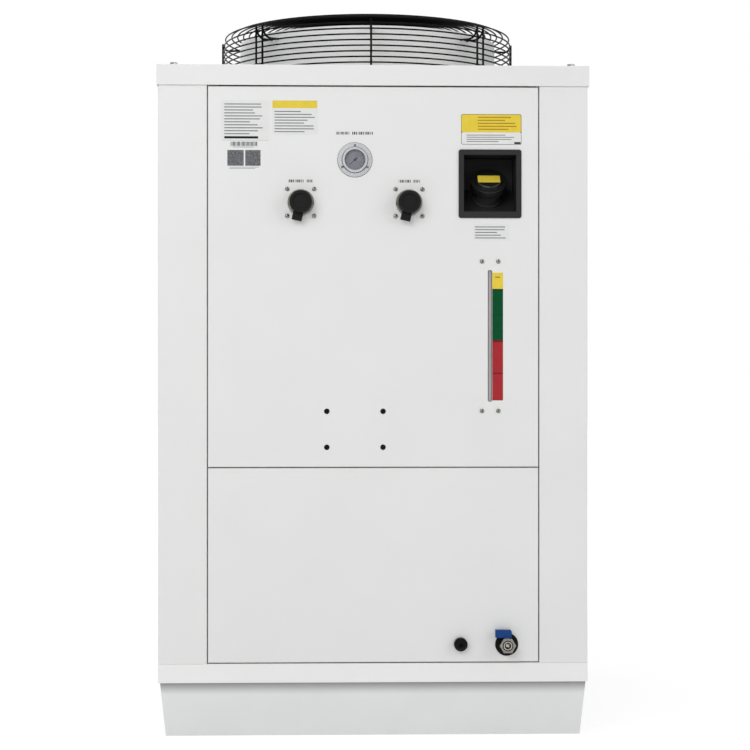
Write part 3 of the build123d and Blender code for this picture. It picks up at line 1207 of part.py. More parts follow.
# Refrigerant pipes: gas to the left coil, a bridge, liquid to the evaporator, gas back
EVAPORATOR_BACK = EVAPORATOR_FROM_FACE + EVAPORATOR_DEPTH / 2
HEADER_SIDE = COIL_X - HEADER / 2 - 0.5
SUCTION_GAS_HEIGHT = 180.0
RETURN_GAS_HEIGHT = 280.0
REFRIGERANT_PIPES = {
    "discharge_gas_pipe": (GAS_PIPE, (
        (COMPRESSOR_X, COMPRESSOR_FROM_FACE, COMPRESSOR_TOP),
        (COMPRESSOR_X, COMPRESSOR_FROM_FACE, GAS_HEIGHT),
        (COMPRESSOR_X, HEADER_FROM_FACE, GAS_HEIGHT),
        (-HEADER_SIDE, HEADER_FROM_FACE, GAS_HEIGHT),
    )),
    "bridge_pipe": (GAS_PIPE, (
        (-HEADER_SIDE, HEADER_FROM_FACE, BRIDGE_HEIGHT),
        (HEADER_SIDE, HEADER_FROM_FACE, BRIDGE_HEIGHT),
    )),
    "liquid_pipe": (LIQUID_PIPE, (
        (HEADER_SIDE, HEADER_FROM_FACE, LIQUID_HEIGHT),
        (EVAPORATOR_X, HEADER_FROM_FACE, LIQUID_HEIGHT),
        (EVAPORATOR_X, HEADER_FROM_FACE, EVAPORATOR_TOP - 40),
        (EVAPORATOR_X, EVAPORATOR_BACK, EVAPORATOR_TOP - 40),
    )),
    "suction_gas_pipe": (GAS_PIPE, (
        (EVAPORATOR_X, EVAPORATOR_BACK, SUCTION_GAS_HEIGHT),
        (EVAPORATOR_X, COMPRESSOR_FROM_FACE, SUCTION_GAS_HEIGHT),
        (EVAPORATOR_X, COMPRESSOR_FROM_FACE, RETURN_GAS_HEIGHT),
        (COMPRESSOR_X + COMPRESSOR_DIAMETER / 2, COMPRESSOR_FROM_FACE, RETURN_GAS_HEIGHT),
    )),
}
for name, (diameter, route) in REFRIGERANT_PIPES.items():
    with BuildPart() as pipe:
        add(bent_pipe([inside(*point) for point in route], 2 * GAS_PIPE, diameter))
    save(pipe, name)

# Pump: a volute with a chamber for the impeller, on a foot-mounted motor, its axis along X
PUMP_ORIGIN = inside(OUTLET_X, PUMP_FROM_FACE, PUMP_AXIS)


def along_pump(shift):
    """A plane square to the pump's shaft, so far to the right of the volute's middle."""
    x, y, z = PUMP_ORIGIN
    return Plane(origin=(x + shift, y, z), x_dir=(0, 1, 0), z_dir=(1, 0, 0))


with BuildPart() as pump_casing:
    half = VOLUTE_LENGTH / 2
    with BuildSketch(along_pump(-half)):
        Circle(VOLUTE_DIAMETER / 2)
    extrude(amount=VOLUTE_LENGTH)
    with BuildSketch(along_pump(-half)):
        Circle(WATER_PIPE / 2 + 2)
    extrude(amount=-30)
    with BuildSketch(Plane(PUMP_ORIGIN).offset(VOLUTE_CHAMBER / 2 + 4)):
        Circle(WATER_PIPE / 2 + 2)
    extrude(amount=DISCHARGE_TOP - PUMP_AXIS - VOLUTE_CHAMBER / 2 - 4)
    with BuildSketch(along_pump(VOLUTE_WALL - half)):
        Circle(VOLUTE_CHAMBER / 2)
    extrude(amount=VOLUTE_LENGTH - 2 * VOLUTE_WALL, mode=Mode.SUBTRACT)
    with BuildSketch(along_pump(-half - 30)):
        Circle(WATER_BORE / 2)
    extrude(amount=half + 30, mode=Mode.SUBTRACT)
    with BuildSketch(Plane(PUMP_ORIGIN)):
        Circle(WATER_BORE / 2)
    extrude(amount=DISCHARGE_TOP - PUMP_AXIS, mode=Mode.SUBTRACT)
    with BuildSketch(along_pump(0)):
        Circle(PUMP_SHAFT / 2 + SHAFT_GAP)
    extrude(amount=half, mode=Mode.SUBTRACT)
save(pump_casing, "pump_casing")

MOTOR_WALL = 8.0
BEARING_LENGTH = 12.0
with BuildPart() as pump_motor:
    start = VOLUTE_LENGTH / 2
    with BuildSketch(along_pump(start)):
        Circle(PUMP_MOTOR / 2)
    extrude(amount=PUMP_MOTOR_LENGTH)
    chamfer(pump_motor.faces().sort_by(Axis.X)[-1].edges(), length=8)
    bottom = PUMP_ORIGIN[0] + start + PUMP_MOTOR_LENGTH / 2
    with BuildSketch(Plane(inside(bottom, PUMP_FROM_FACE, BAND_TOP))):
        Rectangle(PUMP_FOOT, PUMP_FOOT)
    extrude(amount=6)
    with BuildSketch(Plane(inside(bottom, PUMP_FROM_FACE, BAND_TOP))):
        Rectangle(PUMP_FOOT - 20, 50)
    extrude(amount=PUMP_HEIGHT - PUMP_MOTOR / 2 + 10)
    with BuildSketch(along_pump(start)):
        Circle(PUMP_ARMATURE / 2 + 1)
    extrude(amount=PUMP_MOTOR_LENGTH - MOTOR_WALL - BEARING_LENGTH, mode=Mode.SUBTRACT)
    with BuildSketch(along_pump(start)):
        Circle(PUMP_SHAFT / 2 + SHAFT_GAP)
    extrude(amount=PUMP_MOTOR_LENGTH - MOTOR_WALL, mode=Mode.SUBTRACT)
save(pump_motor, "pump_motor")

# Pump shaft with its armature
with BuildPart() as pump_shaft:
    with BuildSketch(along_pump(-8)):
        Circle(PUMP_SHAFT / 2)
    extrude(amount=start + PUMP_MOTOR_LENGTH - MOTOR_WALL - 1 + 8)
    with BuildSketch(along_pump(start + 15)):
        Circle(PUMP_ARMATURE / 2)
    extrude(amount=PUMP_MOTOR_LENGTH - MOTOR_WALL - BEARING_LENGTH - 30)
save(pump_shaft, "pump_shaft")

# Impeller: two shrouds with curved vanes between them, closed on the shaft
VANES = 6
with BuildPart() as pump_impeller:
    low = -IMPELLER_LENGTH / 2
    for shift in (low, low + IMPELLER_LENGTH - 4):
        with BuildSketch(along_pump(shift)):
            Circle(IMPELLER / 2)
        extrude(amount=4)
    with BuildSketch(along_pump(low)):
        Circle(PUMP_SHAFT / 2 + 6)
    extrude(amount=IMPELLER_LENGTH)
    with BuildSketch(along_pump(low + 2)):
        with PolarLocations(0, VANES):
            with BuildLine() as camber:
                ThreePointArc((12, 0), (34, 14), (IMPELLER / 2 - 3, 10))
            trace(camber.line, line_width=3)
    extrude(amount=IMPELLER_LENGTH - 4)
    with BuildSketch(along_pump(low)):
        Circle(WATER_BORE / 2)
    extrude(amount=6, mode=Mode.SUBTRACT)
    with BuildSketch(along_pump(-8)):
        Circle(PUMP_SHAFT / 2)
    extrude(amount=40, mode=Mode.SUBTRACT)
save(pump_impeller, "pump_impeller")

# Controller: a sealed panel-mounted unit with a display window and flat keys
with BuildPart() as controller:
    with BuildSketch(on_control(0, CONTROLLER_HEIGHT)):
        RectangleRounded(*CONTROLLER_SIZE, 6)
    extrude(amount=CONTROLLER_PROUD)
    chamfer(controller.edges().group_by(Axis.Y)[-1], length=1.5)
    with BuildSketch(on_control(0, CONTROLLER_HEIGHT)):
        Rectangle(*CONTROLLER_BODY)
    extrude(amount=-CONTROLLER_DEPTH)
    with BuildSketch(on_control(0, CONTROLLER_HEIGHT + 14, CONTROLLER_PROUD)):
        Rectangle(86, 40)
    extrude(amount=-1.5, mode=Mode.SUBTRACT)
save(controller, "controller")

# Electrical box: a closed enclosure on the shelf, with a lid lip
with BuildPart() as electrical_box:
    place = (BOX_X, BACK_Y - BOX_FROM_BACK, SHELF_TOP)
    with BuildSketch(Plane(place)):
        Rectangle(BOX_SIZE[0], BOX_SIZE[1])
    extrude(amount=BOX_SIZE[2])
save(electrical_box, "electrical_box")
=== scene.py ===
# %% [markdown]
# # A water chiller, finished in Blender
# The construction model comes first: every panel, pipe and valve already stands in its place, in
# metres. What is left for Blender is what a person sees and touches. That is the paint, the bare
# metals and plastics, the round wires of the guard, the small screws, the stickers and the light.

# %% Load the frame
import bpy
from math import cos, pi, radians, sin
from mathutils import Matrix, Vector


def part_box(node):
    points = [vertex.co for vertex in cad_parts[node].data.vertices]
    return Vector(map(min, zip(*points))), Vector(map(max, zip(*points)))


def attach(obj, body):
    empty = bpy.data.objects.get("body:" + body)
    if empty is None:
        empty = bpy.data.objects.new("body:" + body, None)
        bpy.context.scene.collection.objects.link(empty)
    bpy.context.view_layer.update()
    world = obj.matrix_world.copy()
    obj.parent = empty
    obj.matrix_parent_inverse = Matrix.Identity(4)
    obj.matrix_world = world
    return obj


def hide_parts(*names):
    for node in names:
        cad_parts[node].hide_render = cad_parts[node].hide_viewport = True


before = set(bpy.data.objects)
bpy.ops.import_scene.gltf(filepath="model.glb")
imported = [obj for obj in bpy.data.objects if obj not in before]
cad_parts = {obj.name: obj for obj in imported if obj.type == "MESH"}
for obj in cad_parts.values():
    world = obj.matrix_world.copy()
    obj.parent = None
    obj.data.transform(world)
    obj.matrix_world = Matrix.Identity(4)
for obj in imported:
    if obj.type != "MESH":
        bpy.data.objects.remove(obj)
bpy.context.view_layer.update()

# %% [markdown]
# ## Sizes that the new pieces share
# The new pieces have to land on the construction model, so their places are written once, in
# millimetres, and turned into metres as they are used.

# %% Sizes in millimetres
FACE = -437.25
CONTROL_FACE = 457.25
FAN_Y = 10.0
DECK = 1193.5
CENTRE_LINE = -33.0
PORTS = (-129.3, 63.3)
PORT_HEIGHT = 948.8
GAUGE_HEIGHT = 1024.8
LEVEL_X = 208.0
DRAIN_X = 237.4
DRAIN_HEIGHT = 162.5
DRAIN_MOUTH = FACE - 25.0
LEVER_TURN_Y = FACE - 12.5


def mm(*values):
    """Millimetres to metres: one number, or several as a tuple."""
    return values[0] / 1000 if len(values) == 1 else tuple(v / 1000 for v in values)


print("service face at", mm(FACE), "m, deck at", mm(DECK), "m")

# %% [markdown]
# ## Helpers for materials
# A colour picked from a paint chart is written as a hex code, and Blender computes in linear
# light, so one function converts it. A second one adds a shader node with its settings and its
# links in one line, which keeps each finish short enough to read. Sources given without a name
# go to the node's sockets in order, which suits nodes whose sockets share one name.

# %% Colour and node helpers
def paint_chip(code):
    """A hex colour as the linear colour that Blender's shaders expect."""
    channels = [int(code[i:i + 2], 16) / 255 for i in (1, 3, 5)]
    linear = [c / 12.92 if c <= 0.04045 else ((c + 0.055) / 1.055) ** 2.4 for c in channels]
    return (*linear, 1.0)


def add_node(tree, kind, settings=None, *sources, **links):
    """Add a shader node, set its properties or sockets, and link sockets to their sources."""
    new = tree.nodes.new("ShaderNode" + kind)
    for key, value in (settings or {}).items():
        if key in new.inputs:
            new.inputs[key].default_value = value
        else:
            setattr(new, key, value)
    for place, source in enumerate(sources):
        tree.links.new(source, new.inputs[place])
    for key, source in links.items():
        tree.links.new(source, new.inputs[key.replace("_", " ")])
    return new


def fresh_tree(owner):
    """Turn on an owner's node tree and empty it."""
    owner.use_nodes = True
    owner.node_tree.nodes.clear()
    return owner.node_tree


def node_of(tree, kind):
    """The first node of a kind in a tree."""
    return next(n for n in tree.nodes if n.bl_idname == "ShaderNode" + kind)


def shade_between(tree, source, dark, light, low=0.35, high=0.65):
    """A colour ramp from a dark to a light shade, driven by a pattern."""
    ramp = add_node(tree, "ValToRGB", Fac=source)
    ends = ramp.color_ramp.elements
    ends[0].position, ends[1].position = low, high
    ends[0].color, ends[1].color = dark, light
    return ramp.outputs["Color"]


def scaled(colour, share):
    """A lighter or darker shade of a colour."""
    return (*[min(c * share, 1.0) for c in colour[:3]], 1.0)


print("white enamel in linear light:", [round(c, 3) for c in paint_chip("#E9E9E7")])

# %% [markdown]
# ## One recipe for many finishes
# Most finishes on the machine are the same idea with other numbers. A broad, slow noise makes
# the shade drift a little, as dust, handling and the paint line do. A fine noise makes the grain:
# orange peel on powder coat, casting skin on iron, drawing lines when it is stretched. The grain
# drives both the roughness and a bump whose depth is a real height in millimetres.
# A Bevel node rounds the sharp edges of sheet metal in the shading, so they catch the light.

# %% The surface recipe
def finish(name, code, roughness, metallic=0.0, drift=0.03, drift_mm=140.0, grain_mm=1.4,
           depth_mm=0.02, stretch=(1, 1, 1), swing=0.05, edge_mm=0.6, coat=0.0, shine=0.5):
    """A material from its colour, its roughness and the size of its drift and grain."""
    material = bpy.data.materials.new(name)
    tree = fresh_tree(material)
    colour = paint_chip(code)
    place = add_node(tree, "TexCoord").outputs["Object"]
    slow = add_node(tree, "TexNoise", {"Scale": 1000 / drift_mm, "Detail": 3.0}, Vector=place)
    tint = shade_between(tree, slow.outputs["Fac"], scaled(colour, 1 - drift),
                         scaled(colour, 1 + drift / 2))
    drawn = add_node(tree, "Mapping", {"Scale": stretch}, Vector=place)
    fine = add_node(tree, "TexNoise", {"Scale": 1000 / grain_mm, "Detail": 2.0},
                    Vector=drawn.outputs["Vector"])
    rough = add_node(tree, "MapRange",
                     {"To Min": max(roughness - swing, 0.02), "To Max": roughness + swing},
                     Value=fine.outputs["Fac"])
    edge = add_node(tree, "Bevel", {"samples": 4, "Radius": mm(edge_mm)})
    bump = add_node(tree, "Bump", {"Strength": 1.0, "Distance": mm(depth_mm)},
                    Height=fine.outputs["Fac"], Normal=edge.outputs["Normal"])
    shader = add_node(tree, "BsdfPrincipled",
                      {"Metallic": metallic, "Coat Weight": coat, "Coat Roughness": 0.12,
                       "Specular IOR Level": shine},
                      Base_Color=tint, Roughness=rough.outputs["Result"],
                      Normal=bump.outputs["Normal"])
    add_node(tree, "OutputMaterial", Surface=shader.outputs["BSDF"])
    return material


# %% [markdown]
# ## The finishes on this machine
# The cabinet is folded steel with a white polyester powder coat. Powder flows as it bakes and
# leaves a faint orange peel, about a millimetre and a half across and a few hundredths deep. The
# plinth is the same powder from another batch, a touch greyer. Black wire, cast aluminium, zinc
# plate, nickel and copper each get their own grain.

# %% Painted and bare metals
cabinet_paint = finish("powder-coated steel, white", "#E7E7E5", 0.40, drift=0.012, depth_mm=0.012)
band_paint = finish("powder-coated steel, base band", "#F0F0EE", 0.40, drift=0.012,
                    depth_mm=0.012)
plinth_paint = finish("powder-coated steel, plinth", "#E6E6E5", 0.44, drift=0.02,
                      drift_mm=90.0, depth_mm=0.015)
# The duct is white powder coat, painted a touch lighter than the cabinet: painted light against
# the shadow of the guard's wires.
duct_paint = finish("powder-coated steel, duct", "#FAFAF8", 0.42, drift=0.012, depth_mm=0.012)
wire_paint = finish("plastic-coated wire, black", "#060607", 0.36, drift=0.10, drift_mm=30.0,
                    grain_mm=0.6, depth_mm=0.01, edge_mm=0.2, shine=0.10)
zinc = finish("zinc-plated steel", "#B4B8BA", 0.34, metallic=1.0, drift=0.10, drift_mm=22.0,
              grain_mm=0.9, depth_mm=0.006, swing=0.10)
cast_aluminium = finish("cast aluminium", "#A6A8A9", 0.46, metallic=1.0, drift=0.08,
                        drift_mm=30.0, grain_mm=1.0, depth_mm=0.05, swing=0.10)
blade_paint = finish("painted fan blade, black", "#232426", 0.45, drift=0.08, drift_mm=70.0,
                     depth_mm=0.02)
motor_paint = finish("enamelled motor casing, black", "#151618", 0.60, drift=0.10, drift_mm=40.0,
                     depth_mm=0.02, shine=0.12)
nickel = finish("nickel-plated brass", "#BDB9B1", 0.20, metallic=1.0, drift=0.08, drift_mm=9.0,
                grain_mm=0.5, depth_mm=0.004, swing=0.07, edge_mm=0.3)
worn_nickel = finish("nickel plate, handled", "#8F8C87", 0.22, metallic=1.0, drift=0.22,
                     drift_mm=7.0, grain_mm=0.5, depth_mm=0.006, swing=0.10, edge_mm=0.3)
bright_steel = finish("bright stainless steel", "#D2D3D5", 0.28, metallic=1.0, drift=0.03,
                      drift_mm=12.0, grain_mm=0.8, depth_mm=0.0006, swing=0.03, edge_mm=0.3)
turned_brass = finish("turned brass", "#B99A55", 0.26, metallic=1.0, drift=0.08, drift_mm=12.0,
                      grain_mm=0.4, depth_mm=0.004, stretch=(1, 1, 6), edge_mm=0.3)
drawn_copper = finish("drawn copper tube", "#B4714F", 0.30, metallic=1.0, drift=0.22,
                      drift_mm=26.0, grain_mm=1.2, depth_mm=0.006, swing=0.12)
stainless_pipe = finish("drawn stainless pipe", "#AEB0B1", 0.30, metallic=1.0, drift=0.06,
                        drift_mm=40.0, grain_mm=1.0, depth_mm=0.005, swing=0.08)
channel_metal = finish("mill-finish aluminium", "#C3C5C6", 0.32, metallic=1.0, drift=0.05,
                       drift_mm=20.0, grain_mm=0.7, depth_mm=0.004, stretch=(6, 6, 0.3))
cast_iron = finish("painted cast iron", "#4C5156", 0.55, drift=0.10, drift_mm=25.0, grain_mm=2.2,
                   depth_mm=0.12, swing=0.10)
pump_paint = finish("enamelled pump motor, blue", "#33507A", 0.38, drift=0.06, depth_mm=0.02,
                    coat=0.2)
box_paint = finish("powder-coated steel, grey", "#B9BBBB", 0.44, drift=0.02, depth_mm=0.012)


# Painted shade: the colour is darkened towards a height, where an overhang's shadow falls.
def painted_shade_band(material, low, high, share):
    """Darken a finish towards a height in millimetres: painted shade, as under an overhang."""
    tree = material.node_tree
    shader = node_of(tree, "BsdfPrincipled")
    tint = shader.inputs["Base Color"].links[0].from_socket
    height = add_node(tree, "SeparateXYZ", Vector=node_of(tree, "TexCoord").outputs["Object"])
    grey = add_node(tree, "MapRange", {"From Min": mm(low), "From Max": mm(high), "To Min": 1.0,
                                       "To Max": share, "interpolation_type": "SMOOTHSTEP"},
                    Value=height.outputs["Z"])
    darker = add_node(tree, "VectorMath", {"operation": "SCALE"}, tint,
                      Scale=grey.outputs["Result"])
    tree.links.new(darker.outputs[0], shader.inputs["Base Color"])


# The plinth darkens towards its top: painted shade under the base tray's overhang.
painted_shade_band(plinth_paint, 72.0, 95.4, 0.42)
print("metals and paints:", len(bpy.data.materials))

# %% [markdown]
# Moulded plastics and rubber have a fine texture. Blacks that are meant to look deep get a low
# specular level, because a white studio would otherwise wash them out to grey.
# Films and inks are almost flat, so their grain is only a few thousandths of a millimetre deep.

# %% Plastics, rubber, films and inks
moulded_black = finish("moulded plastic, black", "#111112", 0.48, drift=0.08, drift_mm=18.0,
                       grain_mm=0.7, depth_mm=0.03, swing=0.07, edge_mm=0.4, shine=0.18)
recess_plastic = finish("textured plastic, dark grey", "#2B2B2C", 0.55, drift=0.06,
                        drift_mm=24.0, grain_mm=0.8, depth_mm=0.05, edge_mm=0.8, shine=0.2)
cap_plastic = finish("fill cap plastic, black", "#19191A", 0.34, drift=0.08, drift_mm=16.0,
                     grain_mm=0.6, depth_mm=0.02, edge_mm=1.4, shine=0.6)
neck_plastic = finish("fill neck plastic, grey", "#3B3B3B", 0.50, drift=0.06, drift_mm=16.0,
                      grain_mm=0.7, depth_mm=0.02)
gland_plastic = finish("polyamide, black", "#08080A", 0.30, drift=0.10, drift_mm=9.0,
                       grain_mm=0.5, depth_mm=0.01, edge_mm=0.5, shine=0.12)
rubber = finish("moulded rubber, black", "#0F0F0F", 0.62, drift=0.15, drift_mm=10.0,
                grain_mm=0.4, depth_mm=0.02, edge_mm=0.5, shine=0.15)
lever_plastic = finish("dipped vinyl, blue", "#103F80", 0.34, drift=0.06, drift_mm=9.0,
                       grain_mm=0.9, depth_mm=0.02, edge_mm=0.8, shine=0.2)
tank_plastic = finish("natural polyethylene", "#DADCD6", 0.52, drift=0.05, drift_mm=60.0,
                      grain_mm=2.6, depth_mm=0.05)
dial_paint = finish("dial enamel", "#8F8B9B", 0.55, drift=0.14, drift_mm=9.0, grain_mm=0.8,
                    depth_mm=0.003, edge_mm=0.05)
ink = finish("screen-print ink, black", "#161617", 0.50, drift=0.06, drift_mm=6.0, grain_mm=0.4,
             depth_mm=0.003, edge_mm=0.05, shine=0.15)
grey_ink = finish("screen-print ink, grey", "#77797C", 0.50, drift=0.10, drift_mm=5.0,
                  grain_mm=0.5, depth_mm=0.003, edge_mm=0.05, shine=0.15)
brown_ink = finish("screen-print ink, brown", "#A9822B", 0.50, drift=0.10, drift_mm=5.0,
                   grain_mm=0.5, depth_mm=0.003, edge_mm=0.05, shine=0.15)
dark_green_ink = finish("screen-print ink, dark green", "#063A20", 0.45, drift=0.10,
                        drift_mm=5.0, grain_mm=0.5, depth_mm=0.003, edge_mm=0.05, shine=0.15)
dark_red_ink = finish("screen-print ink, dark red", "#701A24", 0.45, drift=0.10, drift_mm=5.0,
                      grain_mm=0.5, depth_mm=0.003, edge_mm=0.05, shine=0.15)
white_vinyl = finish("vinyl film, white", "#E4E4E2", 0.36, drift=0.02, drift_mm=12.0,
                     grain_mm=0.8, depth_mm=0.004, edge_mm=0.05, shine=0.15)
yellow_vinyl = finish("vinyl film, yellow", "#E6CB44", 0.38, drift=0.04, drift_mm=12.0,
                      grain_mm=0.8, depth_mm=0.004, edge_mm=0.05, shine=0.15)
green_vinyl = finish("vinyl film, green", "#064E2C", 0.38, drift=0.05, drift_mm=14.0,
                     grain_mm=0.8, depth_mm=0.004, edge_mm=0.05, shine=0.08)
red_vinyl = finish("vinyl film, red", "#A92B31", 0.38, drift=0.05, drift_mm=14.0,
                   grain_mm=0.8, depth_mm=0.004, edge_mm=0.05, shine=0.15)
speckled_ink = finish("screen-print ink, speckled grey", "#6F7073", 0.50, drift=0.45,
                      drift_mm=3.0, grain_mm=1.0, depth_mm=0.003, edge_mm=0.05, shine=0.15)
display_film = finish("display window, smoked", "#15201C", 0.12, drift=0.10, drift_mm=30.0,
                      grain_mm=1.0, depth_mm=0.001, edge_mm=0.2)
print("with plastics and films:", len(bpy.data.materials))

# %% [markdown]
# ## Fins and glass
# A condenser coil is hundreds of thin fins, about two millimetres apart, that nobody models one
# by one. Bands on the object's own coordinates draw them instead, with a bump that makes each
# fin's edge catch light. Glass is a plain transmission shader with a faint green.

# %% Coil fins and clear parts
def finned(name, code, pitch_mm):
    """Bare metal with the bump of thin fins at a pitch."""
    material = finish(name, code, 0.42, metallic=1.0, drift=0.10, drift_mm=50.0)
    tree = material.node_tree
    bands = add_node(tree, "TexWave", {"bands_direction": "Y", "Scale": 1000 / pitch_mm / 20,
                                       "Distortion": 0.0},
                     Vector=node_of(tree, "TexCoord").outputs["Object"])
    bump = node_of(tree, "Bump")
    bump.inputs["Distance"].default_value = mm(0.8)
    tree.links.new(bands.outputs["Fac"], bump.inputs["Height"])
    return material


def clear(name, code, roughness, share=1.0):
    """Glass or clear plastic, with faint smears in its roughness."""
    material = bpy.data.materials.new(name)
    tree = fresh_tree(material)
    place = add_node(tree, "TexCoord").outputs["Object"]
    smears = add_node(tree, "TexNoise", {"Scale": 60.0, "Detail": 3.0}, Vector=place)
    rough = add_node(tree, "MapRange", {"To Min": roughness, "To Max": roughness + 0.05},
                     Value=smears.outputs["Fac"])
    shader = add_node(tree, "BsdfPrincipled", {"Base Color": paint_chip(code), "IOR": 1.45,
                                               "Transmission Weight": share},
                      Roughness=rough.outputs["Result"])
    add_node(tree, "OutputMaterial", Surface=shader.outputs["BSDF"])
    return material


coil_fins = finned("aluminium fins", "#B9BCBE", 2.1)
clear_glass = clear("clear glass", "#F6FAF8", 0.01)
cloudy_tube = clear("level tube, cloudy", "#D9D2D2", 0.30, share=0.25)
print("with fins and glass:", len(bpy.data.materials))

# %% [markdown]
# ## Painting the construction model
# Each node of the construction model keeps its shape. Only the material in its slots changes.

# %% Assign the finishes
FINISHES = {
    cabinet_paint: ("corner_posts", "service_upper_panel", "service_lower_panel", "side_panels",
                    "control_upper_panel", "control_lower_panel", "top_cover"),
    band_paint: ("base_tray", "base_plate"),
    plinth_paint: ("plinth",),
    duct_paint: ("fan_duct", "duct_mouth"),
    wire_paint: ("fan_guard",),
    zinc: ("cross_rails", "shelf"),
    cast_aluminium: ("rotor_can",),
    blade_paint: ("fan_blades",),
    motor_paint: ("fan_motor", "compressor"),
    nickel: ("valve_tail", "valve_ball"),
    worn_nickel: ("port_unions", "valve_body"),
    bright_steel: ("gauge_case", "gauge_bezel", "pump_shaft", "evaporator"),
    turned_brass: ("level_fittings", "pump_impeller"),
    drawn_copper: ("discharge_gas_pipe", "bridge_pipe", "liquid_pipe", "suction_gas_pipe"),
    stainless_pipe: ("supply_pipe", "return_pipe", "tank_feed_pipe", "suction_pipe",
                     "drain_pipe"),
    channel_metal: ("level_channel",),
    cast_iron: ("pump_casing",),
    pump_paint: ("pump_motor",),
    box_paint: ("electrical_box",),
    moulded_black: ("outlet_plug", "inlet_plug", "controller"),
    recess_plastic: ("fill_recess",),
    cap_plastic: ("fill_cap",),
    neck_plastic: ("fill_neck",),
    gland_plastic: ("cable_gland", "gland_locknut"),
    rubber: ("drain_grommet", "compressor_feet"),
    lever_plastic: ("drain_lever",),
    tank_plastic: ("water_tank",),
    dial_paint: ("gauge_dial",),
    ink: ("gauge_pointer",),
    coil_fins: ("condenser_coils",),
    clear_glass: ("gauge_glass",),
    cloudy_tube: ("level_tube",),
}
painted = set()
for material, names in FINISHES.items():
    for name in names:
        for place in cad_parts[name].material_slots:
            place.material = material
        painted.add(name)
print("nodes without a finish:", sorted(set(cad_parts) - painted))

# %% [markdown]
# ## Helpers for modelling
# New pieces are modelled the way a person does it: a primitive, edit mode, extrude, spin, bevel.
# Everything is deselected before a primitive is added, because the loaded nodes are still
# selected. A finished piece has its place in its mesh, like the loaded nodes, and rides on the
# body that carries it.

# %% Selection and finishing helpers
def start_fresh():
    """Leave edit mode and deselect everything."""
    if bpy.context.object and bpy.context.object.mode != "OBJECT":
        bpy.ops.object.mode_set(mode="OBJECT")
    bpy.ops.object.select_all(action="DESELECT")


def only(piece):
    """Select one piece and make it active."""
    start_fresh()
    piece.select_set(True)
    bpy.context.view_layer.objects.active = piece


def settle(piece):
    """Put the piece's place, turn and size into its mesh."""
    only(piece)
    bpy.ops.object.transform_apply(location=True, rotation=True, scale=True)


def choose(piece, test, kind="FACE"):
    """In edit mode, select just the faces or edges that pass a test on their place."""
    bpy.ops.object.mode_set(mode="OBJECT")
    mesh = piece.data
    for group in (mesh.polygons, mesh.edges, mesh.vertices):
        group.foreach_set("select", [False] * len(group))
    if kind == "FACE":
        for face in mesh.polygons:
            face.select = test(face.center, face.normal)
    else:
        for edge in mesh.edges:
            edge.select = test(*[mesh.vertices[i].co for i in edge.vertices])
    bpy.ops.object.mode_set(mode="EDIT")
    bpy.ops.mesh.select_mode(type=kind)


def whole(piece):
    """Merge doubled points and turn every face outwards."""
    only(piece)
    bpy.ops.object.mode_set(mode="EDIT")
    bpy.ops.mesh.select_all(action="SELECT")
    bpy.ops.mesh.remove_doubles(threshold=0.00001)
    bpy.ops.mesh.normals_make_consistent(inside=False)
    bpy.ops.object.mode_set(mode="OBJECT")


def hand_over(piece, name, material, body, smooth=35):
    """Name and finish a piece, smooth its gentle angles, and let it ride on its body."""
    settle(piece)
    piece.name = piece.data.name = name
    piece.data.materials.clear()
    piece.data.materials.append(material)
    if smooth:
        bpy.ops.object.shade_smooth_by_angle(angle=radians(smooth))
    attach(piece, body)
    print(name, "faces:", len(piece.data.polygons))


def joined(pieces):
    """Join pieces into the first of them."""
    start_fresh()
    for piece in pieces:
        piece.select_set(True)
    bpy.context.view_layer.objects.active = pieces[0]
    if len(pieces) > 1:
        bpy.ops.object.join()
    return bpy.context.object


def thickened(x, y, z):
    """Extrude the whole flat mesh being edited by a move in millimetres."""
    bpy.ops.mesh.select_all(action="SELECT")
    bpy.ops.mesh.extrude_region_move(TRANSFORM_OT_translate={"value": mm(x, y, z)})
    bpy.ops.object.mode_set(mode="OBJECT")


def copies_at(piece, moves):
    """Copy a finished mesh by 4x4 matrices, each copy with its own mesh, and join them all."""
    family = []
    for move in moves:
        twin = piece.copy()
        twin.data = piece.data.copy()
        bpy.context.collection.objects.link(twin)
        twin.matrix_world = move @ piece.matrix_world
        settle(twin)
        family.append(twin)
    bpy.data.objects.remove(piece, do_unlink=True)
    return joined(family)


# %% [markdown]
# ## The fan guard
# The real guard is drawn wire: thin rings welded inside thicker uprights, then dipped in black
# plastic. The construction model has fewer rings in straight pitches, because a physics engine
# needs no more. Here the wires are round. A torus is one ring, and its radius and height follow
# the drum's straight side, the shoulder and then the shallow dome.

# %% Ring wires
RING_WIRE = 3.0
UPRIGHT = 4.0
DRUM = 289.0
SHOULDER = 1305.0
SHOULDER_BEND = 14.0
CROWN = 1331.0
INNER_RING = 90.0
WELD = 0.3
RING_INSIDE = (RING_WIRE + UPRIGHT) / 2 - WELD
LOWEST_RING = 1204.0
SIDE_PITCH = 10.5
SIDE_RINGS = 10
OUTER_TOP_RING = 271.0
TOP_PITCH = 11.6
TOP_RINGS = 14
SHOULDER_RING = (DRUM - 5.5, SHOULDER + 6)


def dome(radius):
    """Height of the upright wires' centre line over the top."""
    start = DRUM - SHOULDER_BEND
    rise = CROWN - SHOULDER - SHOULDER_BEND
    return SHOULDER + SHOULDER_BEND + rise * (start - radius) / (start - INNER_RING)


rings = [(DRUM - RING_INSIDE, LOWEST_RING + SIDE_PITCH * row) for row in range(SIDE_RINGS)]
rings += [SHOULDER_RING]
top_radii = [OUTER_TOP_RING - TOP_PITCH * row for row in range(TOP_RINGS)]
rings += [(radius, dome(radius) - RING_INSIDE) for radius in top_radii]
start_fresh()
wires = []
for radius, height in rings:
    bpy.ops.mesh.primitive_torus_add(major_radius=mm(radius), minor_radius=mm(RING_WIRE / 2),
                                     major_segments=96, minor_segments=8,
                                     location=(0, 0, mm(height)))
    wires.append(bpy.context.object)
print("rings:", len(wires))

